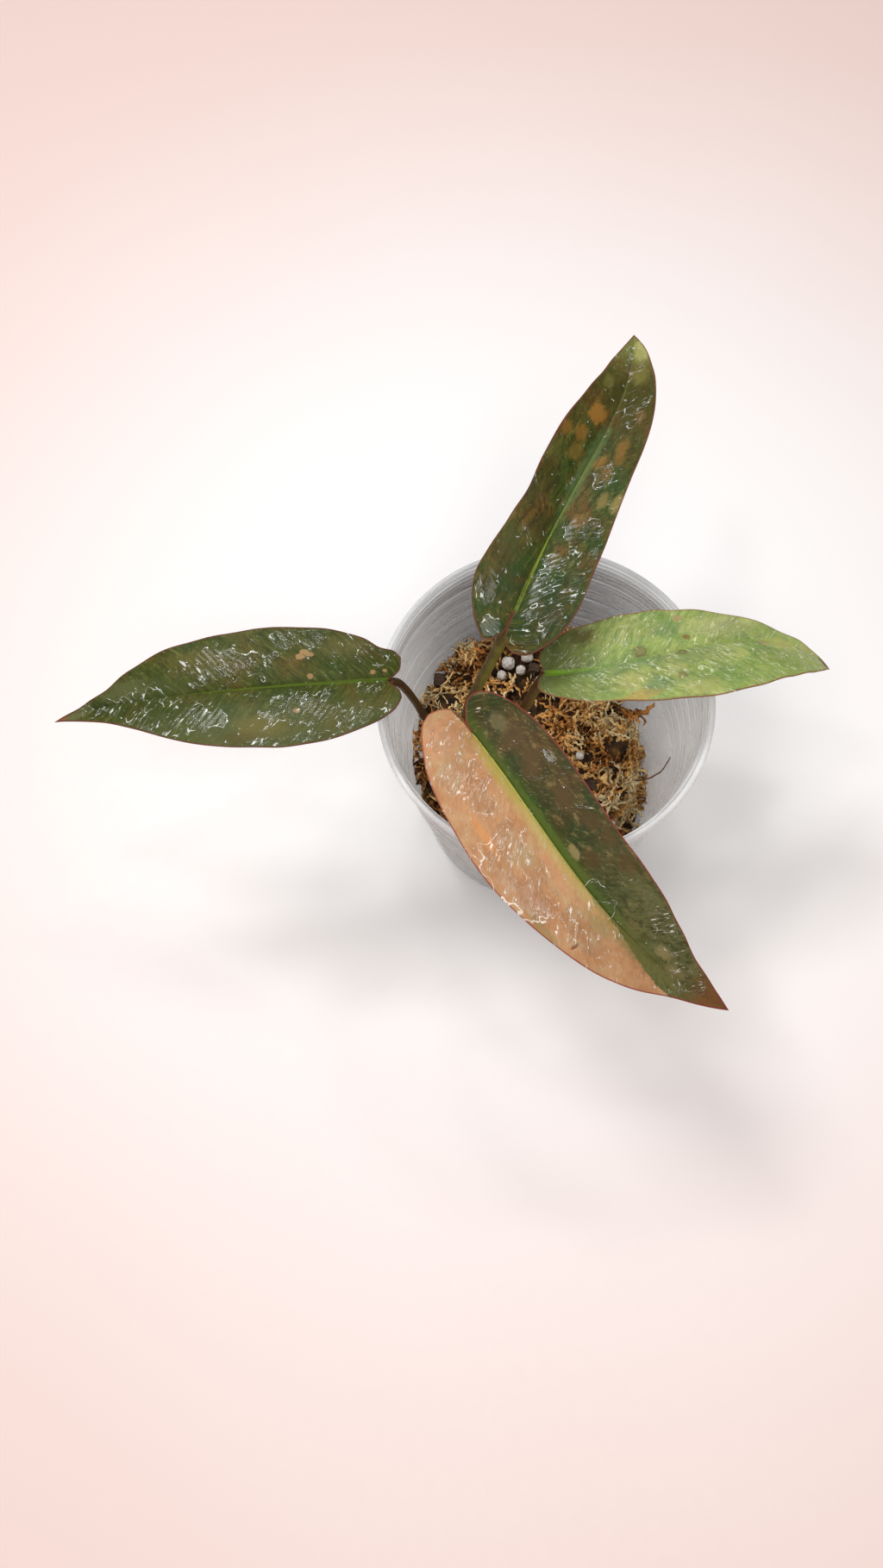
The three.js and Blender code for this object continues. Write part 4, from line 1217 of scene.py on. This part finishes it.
class BladeFinish(Finish):
    """The upper face of a leaf, laid on in coats: ground, streaks, patches, midrib, margin and water with
    painted highlights.
    """

    def __init__(self, name):
        super().__init__(name)
        self.plan = self.attribute("plan")
        self.along, self.across, self.margin = self.parts(self.plan)
        self.run, self.out, self.film = self.parts(self.attribute("flow"))
        self.swept = self.run - VEIN_SLANT * abs(self.out)
        self.blur = self.grain(self.plan, 0.55, 4, 0.6)

    def clouded(self, scale, *stops):
        """A ground colour that drifts in soft clouds."""
        return self.ramp(self.grain(self.plan, scale, 3, 0.6), *stops)

    def reached(self, soft, low, high):
        """From low to high along the blade, with an uneven front."""
        return (self.along + soft * (self.blur - 0.5)).step(low, high)

    def spots(self, colour, looks):
        """Lays soft ovals on a colour: (along, across, reach, reach, edge, strength, colour)."""
        for along, across, reach_along, reach_across, edge, strength, over in looks:
            scale = (1 / reach_along, 1 / reach_across, 0)
            near = self.stretched(self.plan, scale, (-along / reach_along, -across / reach_across, 0))
            apart = self.length(near) + 1.5 * (self.blur - 0.5)
            colour = self.mix(apart.step(1 + edge, 1 - edge, 0, strength), colour, over)
        return colour

    def streaked(self, colour, dark, light, amount, stretch=(0.8, 0.22)):
        """Streaks that wander along the side veins, and finer mottling between them."""
        wander = 2.5 * self.grain(self.plan, 0.12, 2)
        drawn = self.vector(stretch[0] * self.swept + wander, stretch[1] * self.out + wander, 0)
        fine = self.grain(drawn, 1, 6, 0.7)
        colour = self.mix(fine.step(0.50, 0.40, 0, amount), colour, dark)
        colour = self.mix(fine.step(0.54, 0.66, 0, amount), colour, light)
        flecks = self.grain(self.vector(0.9 * self.swept, 0.7 * self.out, 4), 1, 4, 0.7, 0.8)
        colour = self.mix(flecks.step(0.46, 0.36, 0, amount), colour, dark)
        return self.mix(flecks.step(0.57, 0.67, 0, amount), colour, light)

    def rib(self, colour, over, width, start, end, strength):
        """The midrib's bright line, which narrows from start to end along the blade."""
        reach = abs(self.across) - width * self.along.step(end, start, 0, 1)
        ends = self.along.step(end, end - 20) * self.along.step(-1.5, 1.5)
        return self.mix(reach.step(0.20, -0.10, 0, strength) * ends, colour, over)

    def worms(self, along, across, seed, width):
        """Thin wrinkles of water: the level line of a noise, stretched both ways."""
        field = self.grain(self.vector(along * self.swept, across * self.out, seed), 1, 1.5, 0.5, 0.7)
        return abs(field - 0.5).step(width, 0.25 * width)

    def ended(
        self, colour, margin_colour, wrinkles=(0.42, 0.30), painted_sheen=0.12, painted_shine=0.45, more=0,
        painted_gleam=(0.94, 0.97, 0.90), meander_with_painted_glint=0,
    ):
        """Ends a leaf: its margin, then water in pools, shores, wrinkles and drops, wet over dry, with
        painted highlights on the water lines.
        """
        edge = (self.margin - 0.2 - 0.22 * self.blur).step(0.25, -0.05)
        colour = self.mix(0.8 * edge, colour, margin_colour)
        pool = self.film.step(0.55, 0.75)
        shore = abs(self.film - 0.60).step(0.045, 0.015) * self.grain(self.plan, 0.22, 2).step(0.50, 0.56)
        drift = self.grain(self.vector(0.30 * self.swept, 0.10 * self.out, 5), 1, 1, 0.5)
        damp = drift + 0.20 * self.film.step(0.2, 0.8) + more
        ribbed = self.worms(0.55, 0.15, 1, 0.030) * damp.step(0.66, 0.70)
        curled = self.worms(*wrinkles, 7, 0.030) * (self.grain(self.plan, 0.30, 1) + more).step(0.66, 0.69)
        sprayed = self.grain(self.plan, 0.9, 1).step(0.62, 0.66)
        drops = self.cells(self.plan, 0.75).step(0.18, 0.06) * sprayed
        line = ribbed.above(curled).above(shore).above(drops).above(meander_with_painted_glint)
        # Painted highlight: the brightest water lines and any meander line get a painted glint
        bright = (line * self.grain(self.plan, 0.5, 1).step(0.50, 0.56)).above(0.8 * meander_with_painted_glint)
        crease = self.grain(self.plan, 0.9, 3, 0.6, 0.8)
        pores = self.grain(self.plan, 5, 2)
        veins = self.grain(self.vector(1.3 * self.swept, 0.10 * self.out, 3), 1, 3, 0.6)
        colour = self.mix(0.25 * pool, colour, self.mix(0.5, colour, (0.01, 0.02, 0.004)))
        # Painted highlight and painted sheen: the water lines are painted toward a pale glint colour
        colour = self.mix(painted_sheen * line + painted_shine * bright, colour, painted_gleam)
        wet = self.node("BsdfPrincipled", {}, {
            "Base Color": colour,
            "Roughness": 0.08,
            "IOR": 1.5,
            "Normal": self.relief(0.12 * line + 0.05 * crease, 1),
        })
        dry = {
            "Base Color": colour,
            "Roughness": 0.52 + 0.10 * (veins - 0.5),
            "Specular IOR Level": 0.12,
            "Normal": self.relief(0.07 * veins + 0.010 * pores + 0.10 * line, 0.9),
        }
        self.fill(self.surface, dry)
        skin = Signal(self, self.surface.outputs[0])
        both = self.node("MixShader", {}, {0: line.above(0.35 * pool), 1: skin, 2: wet})
        self.tree.links.new(both.output, self.tree.nodes["Material Output"].inputs["Surface"])
        return self.material


def rear_finish():
    look = BladeFinish("leaf_rear_top")
    ground = look.clouded(
        0.09, (0.36, (0.030, 0.062, 0.009)), (0.5, (0.058, 0.066, 0.011)), (0.64, (0.115, 0.062, 0.012))
    )
    ground = look.streaked(ground, (0.020, 0.020, 0.004), (0.17, 0.15, 0.035), 0.60, (0.14, 0.55))
    tip = look.reached(20, 84, 106)
    ground = look.mix(tip, ground, (0.17, 0.18, 0.05))
    ground = look.mix(0.45 * look.reached(30, 48, 76) * (1 - tip), ground, (0.080, 0.045, 0.011))
    orange, olive, yellow = (0.27, 0.125, 0.022), (0.10, 0.085, 0.018), (0.17, 0.15, 0.035)
    ground = look.rib(ground, (0.24, 0.29, 0.045), 0.75, -3, 50, 0.9)
    return look.ended(look.spots(ground, (
        (52, 0, 18, 1.8, 0.6, 0.7, (0.11, 0.17, 0.06)),
        (45, 0.3, 14, 0.5, 0.4, 0.7, (0.16, 0.19, 0.05)), (78, 0, 26, 0.45, 0.4, 0.55, (0.17, 0.16, 0.06)),
        (70.0, -5.1, 3.6, 2.8, 0.25, 0.85, orange), (61.1, -6.4, 2.6, 2.2, 0.4, 0.55, orange),
        (59.6, -11.3, 2.4, 1.6, 0.5, 0.5, orange), (55.2, -5.1, 2.6, 2.2, 0.4, 0.4, orange),
        (55.2, -5.1, 1.4, 1.3, 0.3, 0.6, olive), (63.3, 7.6, 3.0, 1.8, 0.5, 0.45, orange),
        (59.7, 8.7, 2.4, 1.6, 0.5, 0.4, orange), (55.8, 3.6, 2.4, 1.6, 0.5, 0.5, orange),
        (52.9, 7.3, 2.6, 1.9, 0.5, 0.4, orange), (45.7, 15, 3.2, 1.8, 0.5, 0.7, (0.30, 0.23, 0.07)),
        (44.6, 10.5, 3.0, 1.6, 0.5, 0.55, (0.28, 0.20, 0.06)),
        (35, 6.4, 2.4, 2.0, 0.4, 0.6, (0.2, 0.11, 0.03)),
        (51.4, -11.4, 4, 2, 0.5, 0.5, olive), (23.7, -5.5, 2.6, 1.6, 0.5, 0.3, (0.17, 0.12, 0.03)),
        (20.1, -10.6, 4, 3, 0.5, 0.5, olive), (10.3, -13, 3, 2.0, 0.5, 0.3, (0.17, 0.12, 0.03)),
        (30, -4, 6, 3, 0.6, 0.45, (0.05, 0.022, 0.006)), (40, -9, 7, 4, 0.6, 0.45, (0.055, 0.026, 0.007)),
        (8, -3, 7, 5, 0.6, 0.4, (0.016, 0.030, 0.006)), (2, 10, 10, 9, 0.6, 0.6, (0.018, 0.042, 0.010)),
        (12, -8, 12, 6, 0.6, 0.5, (0.020, 0.042, 0.008)),
        (91.3, 3.6, 4, 2.2, 0.4, 0.7, yellow), (102.3, 2.8, 5, 2.4, 0.4, 0.7, (0.42, 0.40, 0.13)),
        (84, -6, 3, 1.6, 0.4, 0.5, yellow), (76, 8, 2.4, 1.6, 0.4, 0.5, (0.2, 0.12, 0.035)),
    )), (0.16, 0.04, 0.03))


def left_finish():
    look = BladeFinish("leaf_left_top")
    ground = look.clouded(
        0.07, (0.3, (0.032, 0.055, 0.008)), (0.5, (0.060, 0.070, 0.011)), (0.7, (0.10, 0.070, 0.014))
    )
    ground = look.streaked(ground, (0.028, 0.030, 0.006), (0.17, 0.17, 0.045), 0.55, (0.5, 0.16))
    ground = look.rib(ground, (0.10, 0.15, 0.018), 0.7, -2, 90, 0.85)
    lower = (look.across + 8 * (look.blur - 0.5)).step(-3, -12)
    ground = look.mix(0.5 * lower, ground, (0.10, 0.115, 0.038))
    scar, olive = (0.34, 0.21, 0.09), (0.15, 0.12, 0.03)
    return look.ended(look.spots(ground, (
        (42.8, -14.3, 8, 3.5, 0.5, 0.7, olive), (62, 10, 10, 4, 0.6, 0.5, olive),
        (90, 4, 9, 3, 0.6, 0.5, (0.15, 0.15, 0.06)), (15, 12, 8, 4, 0.6, 0.4, (0.15, 0.13, 0.05)),
        (27.1, 10.4, 1.5, 1.0, 0.2, 0.95, scar), (28.7, 8.9, 1.4, 0.9, 0.2, 0.95, scar),
        (25.3, 9.5, 1.2, 0.8, 0.2, 0.9, scar), (25.8, 2.5, 1.0, 0.8, 0.2, 0.9, scar),
        (30.8, -9.5, 1.1, 0.9, 0.2, 0.9, scar), (5.2, 2.6, 0.9, 0.7, 0.2, 0.9, scar),
        (1.0, 2.9, 0.8, 0.6, 0.2, 0.9, scar), (112, 0, 7, 2.6, 0.4, 0.6, (0.17, 0.17, 0.07)),
        (119.6, 0.1, 3.4, 1.6, 0.3, 0.9, (0.30, 0.09, 0.03)), (48, -17.5, 7, 2, 0.5, 0.5, (0.10, 0.07, 0.02)),
        (72, 3, 12, 4, 0.6, 0.35, (0.07, 0.09, 0.03)),
    )), (0.13, 0.03, 0.025))


def right_finish():
    look = BladeFinish("leaf_right_top")
    ground = look.clouded(
        0.08, (0.3, (0.18, 0.27, 0.070)), (0.5, (0.285, 0.36, 0.098)), (0.7, (0.39, 0.41, 0.125))
    )
    ground = look.streaked(ground, (0.13, 0.20, 0.06), (0.52, 0.53, 0.23), 0.55, (0.45, 0.22))
    ground = look.mix(0.8 * look.reached(12, 26, 4), ground, (0.11, 0.135, 0.035))
    ground = look.rib(ground, (0.20, 0.37, 0.03), 1.1, -2, 34, 0.9)
    ground = look.mix(0.6 * look.reached(12, 74, 96), ground, (0.37, 0.45, 0.135))
    yellow, blue = (0.45, 0.42, 0.14), (0.13, 0.21, 0.10)
    brown, tan = (0.16, 0.11, 0.04), (0.36, 0.26, 0.12)
    return look.ended(look.spots(ground, (
        (55, 0.2, 40, 0.5, 0.4, 0.7, (0.30, 0.38, 0.07)),
        (63.4, -7, 12, 4.5, 0.5, 0.5, (0.48, 0.47, 0.20)), (27.2, 9.3, 5, 3.0, 0.6, 0.55, yellow),
        (30.1, 14.6, 6, 1.8, 0.4, 0.8, (0.42, 0.29, 0.08)), (48.4, 17.4, 6, 3, 0.5, 0.45, yellow),
        (85.2, 0.7, 5, 3, 0.5, 0.6, yellow), (96.8, -1.1, 4, 2, 0.5, 0.6, yellow),
        (35.2, 12.4, 4, 3, 0.5, 0.6, blue), (43.9, -8.6, 5, 3.4, 0.5, 0.45, blue),
        (26, 2, 12, 3, 0.6, 0.5, blue), (50, 4, 12, 3, 0.6, 0.35, blue),
        (33.5, -2.1, 2.3, 1.8, 0.25, 0.75, brown), (33.5, -2.1, 1.3, 1.0, 0.25, 0.7, (0.24, 0.22, 0.08)),
        (46.6, 2.2, 1.5, 1.2, 0.3, 0.65, brown), (46.6, 2.2, 0.8, 0.6, 0.3, 0.7, (0.28, 0.27, 0.10)),
        (43.5, 11.5, 1.6, 1.3, 0.3, 0.6, brown), (43.5, 11.5, 0.8, 0.7, 0.3, 0.7, (0.28, 0.27, 0.10)),
        (50.1, -3.7, 1.3, 1.1, 0.25, 0.85, (0.22, 0.12, 0.04)), (76.6, 1.5, 1.6, 1.2, 0.3, 0.8, tan),
        (49.8, -12, 1.8, 1.3, 0.3, 0.8, tan), (14.3, -11.8, 5, 3, 0.5, 0.8, (0.11, 0.10, 0.03)),
        (79.9, 12, 9, 4, 0.5, 0.6, (0.24, 0.33, 0.075)), (107, 0, 4, 2, 0.4, 0.85, (0.10, 0.06, 0.02)),
    # Painted highlights on the water: how strong and what colour
    )), (0.25, 0.085, 0.045), wrinkles=(0.75, 0.42), painted_sheen=0.22, painted_shine=0.26, more=0.10,
        painted_gleam=(0.90, 0.93, 0.62))


def front_finish():
    look = BladeFinish("leaf_front_top")
    pink = look.clouded(
        0.08, (0.3, (0.41, 0.19, 0.082)), (0.5, (0.47, 0.245, 0.118)), (0.72, (0.46, 0.31, 0.155))
    )
    pink = look.streaked(pink, (0.36, 0.15, 0.055), (0.60, 0.43, 0.26), 0.35, (0.25, 0.2))
    lit = look.across.step(5, 0.2, 0, 0.6) * look.along.step(112, 40) * look.along.step(-6, 22)
    pink = look.mix(lit, pink, (0.46, 0.41, 0.10))
    green = look.clouded(
        0.08, (0.36, (0.020, 0.036, 0.005)), (0.5, (0.042, 0.040, 0.007)), (0.64, (0.088, 0.048, 0.011))
    )
    green = look.mix(look.along.step(40, 95, 0, 0.7), green, (0.155, 0.155, 0.060))
    green = look.streaked(green, (0.034, 0.024, 0.005), (0.22, 0.155, 0.06), 0.62, (0.22, 0.5))
    beside = look.across.step(-5, -0.4, 0, 0.5) * look.along.step(120, 60)
    green = look.mix(beside, green, (0.075, 0.13, 0.018))
    edge = look.across - look.along.step(70, 104, 0.15, 6.2)
    salmon = (edge + 1.6 * (look.blur - 0.5)).step(-0.25, 0.3)
    ground = look.mix(salmon, green, pink)
    ground = look.mix(0.85 * look.reached(10, 104, 117), ground, (0.19, 0.075, 0.022))
    ground = look.rib(ground, (0.50, 0.47, 0.10), 0.36, -30, 100, 0.85)
    seam = abs(look.across + 0.6).step(0.30, 0.10, 0, 0.8) * look.along.step(92, 70)
    ground = look.mix(seam, ground, (0.045, 0.050, 0.008))
    brown, glow = (0.080, 0.045, 0.012), (0.34, 0.31, 0.045)
    # Painted highlight: a meander line round a pool on the pink half, bumped, glossy and painted pale
    oval = look.stretched(look.plan, (1 / 15.5, 1 / 9.8, 0), (-45 / 15.5, -13 / 9.8, 0))
    meander_with_painted_glint = abs(look.length(oval) + 0.9 * (look.grain(look.plan, 0.22, 1) - 0.5) - 1).step(0.034, 0.014)
    meander_with_painted_glint = meander_with_painted_glint * look.across.step(12, 16) * look.along.step(31, 36)
    return look.ended(look.spots(ground, (
        (46, -1.4, 28, 1.0, 0.5, 0.6, (0.085, 0.125, 0.02)),
        (90, 1.5, 16, 3, 0.5, 0.6, (0.15, 0.13, 0.04)), (15, 1.5, 12, 1.6, 0.6, 0.4, glow),
        (10.2, -9.1, 5, 3.4, 0.5, 0.75, brown), (18.7, -9.7, 3.4, 2.6, 0.4, 0.75, brown),
        (22.4, -6.7, 2.6, 2.0, 0.4, 0.7, brown), (35.1, -10.3, 4, 3, 0.4, 0.75, brown),
        (45.5, -13.3, 4, 2.4, 0.4, 0.7, brown), (55, -6.5, 3.4, 2.4, 0.4, 0.7, brown),
        (52.8, -14.3, 3, 2, 0.4, 0.7, brown), (62.5, -13.7, 4, 2.4, 0.4, 0.7, brown),
        (3.1, -8.3, 3.6, 2.2, 0.5, 0.5, (0.17, 0.14, 0.06)),
        (50.3, -3.6, 2.4, 1.3, 0.35, 0.8, (0.27, 0.20, 0.08)),
        (71.8, 4.7, 5, 1.8, 0.5, 0.6, (0.30, 0.24, 0.10)), (62.5, 18.4, 7, 1.4, 0.5, 0.6, (0.27, 0.19, 0.07)),
        (31.9, 16, 9, 1.2, 0.5, 0.7, (0.60, 0.25, 0.08)), (52, 5, 8, 2, 0.6, 0.5, (0.55, 0.25, 0.12)),
        (-3, 11, 7, 5, 0.6, 0.4, (0.60, 0.28, 0.16)), (93, -3.6, 3, 1.6, 0.4, 0.7, (0.27, 0.21, 0.09)),
        (100.9, -1.2, 4, 1.6, 0.4, 0.6, (0.26, 0.19, 0.08)), (75, -12, 9, 3, 0.6, 0.4, (0.14, 0.13, 0.05)),
        (71, 14.4, 0.5, 1.6, 0.3, 0.8, (0.16, 0.05, 0.02)),
    # Painted highlights on the water: how strong, what colour, and the painted meander line
    )), (0.24, 0.035, 0.03), wrinkles=(0.42, 0.22), painted_sheen=0.14, painted_shine=0.42, more=0.08 * salmon - 0.03,
        painted_gleam=(1.0, 0.93, 0.82), meander_with_painted_glint=meander_with_painted_glint)


underside = Finish("leaf_underside")
plan = underside.attribute("plan")
run, out, _ = underside.parts(underside.attribute("flow"))
nerves = underside.grain(underside.vector(1.1 * run, 0.08 * out, 0), 1, 4, 0.6)
blotch = underside.grain(plan, 0.12, 3)
underside_look = underside.done(
    Base_Color=underside.ramp(
        0.5 * nerves + 0.5 * blotch,
        (0.35, (0.10, 0.055, 0.028)), (0.5, (0.17, 0.125, 0.05)), (0.65, (0.24, 0.20, 0.085)),
    ),
    Roughness=0.5 + 0.15 * nerves,
    Normal=underside.relief(0.15 * nerves, 0.8),
)
TOPS = {"rear": rear_finish, "left": left_finish, "right": right_finish, "front": front_finish}
for i, (name, leaf) in enumerate(LEAVES.items()):
    blade = whole_blade(name, leaf, 10.0 * i)
    blade.data.materials.append(TOPS[name]())
    blade.data.materials.append(underside_look)
    finished(blade, "leaf_" + name, "leaf_" + name)


# Stones and bark: crushed pumice and chips of bark lie on the moss where they fell. A pumice lump is
# broken all round and full of pores; a chip is split along its grain.
PUMICE_ROUGH = 0.22
CHIP_ROUGH = 0.35
CHIP_SHARE = 0.9
CHIP_EDGE = 0.22
LUMP_SHARE = 1.1


def roughened(piece, centre, size, amount, scale):
    """A piece's vertices pushed in and out by noise and set to its size and place."""
    points = read(piece.data, "co")
    sites = points * size * scale
    shift = np.array([noise(Vector(p) + Vector(centre)) + 0.5 * noise(Vector(p) * 2.3) for p in sites])
    return (points + unit(points) * (amount * np.minimum(shift, 0.25))[:, None]) * size + centre


skin = Finish("pumice_skin")
at = skin.place()
# Painted shade: the pores are painted dark brown as well as bumped in
pores_with_painted_shade = skin.cells(at, 2.4).step(0.30, 0.12)
dust = skin.grain(at, 0.8, 4, 0.6)
pale = skin.ramp(dust, (0.3, (0.55, 0.44, 0.34)), (0.5, (0.75, 0.70, 0.64)), (0.7, (0.87, 0.85, 0.82)))
pumice_look = skin.done(
    Base_Color=skin.mix(0.7 * pores_with_painted_shade, pale, (0.22, 0.15, 0.10)),
    Roughness=0.85 + 0.1 * dust,
    Normal=skin.relief(0.25 * dust - 0.35 * pores_with_painted_shade),
)
skin = Finish("bark_skin")
at = skin.place()
grain = skin.grain(skin.stretched(at, (0.5, 2.6, 2.6)), 1, 4, 0.65)
bark_look = skin.done(
    Base_Color=skin.ramp(
        grain, (0.3, (0.012, 0.007, 0.004)), (0.5, (0.06, 0.03, 0.015)), (0.7, (0.17, 0.09, 0.045))
    ),
    Roughness=0.7 + 0.2 * grain,
    Normal=skin.relief(0.4 * grain),
)
for node in sorted(stone_nodes):
    low, high = (np.array(corner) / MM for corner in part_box(node))
    centre, size = (low + high) / 2, (high - low) / 2
    only()
    if node.startswith("pumice"):
        bpy.ops.mesh.primitive_ico_sphere_add(subdivisions=5, radius=LUMP_SHARE)
        stone, look = bpy.context.object, pumice_look
        points = roughened(stone, centre, size, PUMICE_ROUGH, 0.9)
    else:
        bpy.ops.mesh.primitive_cube_add(size=1.6)
        stone, look = bpy.context.object, bark_look
        applied(stone, "BEVEL", width=CHIP_EDGE, segments=2)
        applied(stone, "SUBSURF", subdivision_type="SIMPLE", levels=3, render_levels=3)
        points = roughened(stone, centre, size * CHIP_SHARE, CHIP_ROUGH, 0.5)
    stone.name = node + "_rough"
    placed(stone, np.clip(points, low, high))
    stone.data.materials.append(look)
    smooth(stone, 50)
    finished(stone, node.split("_")[0], node)
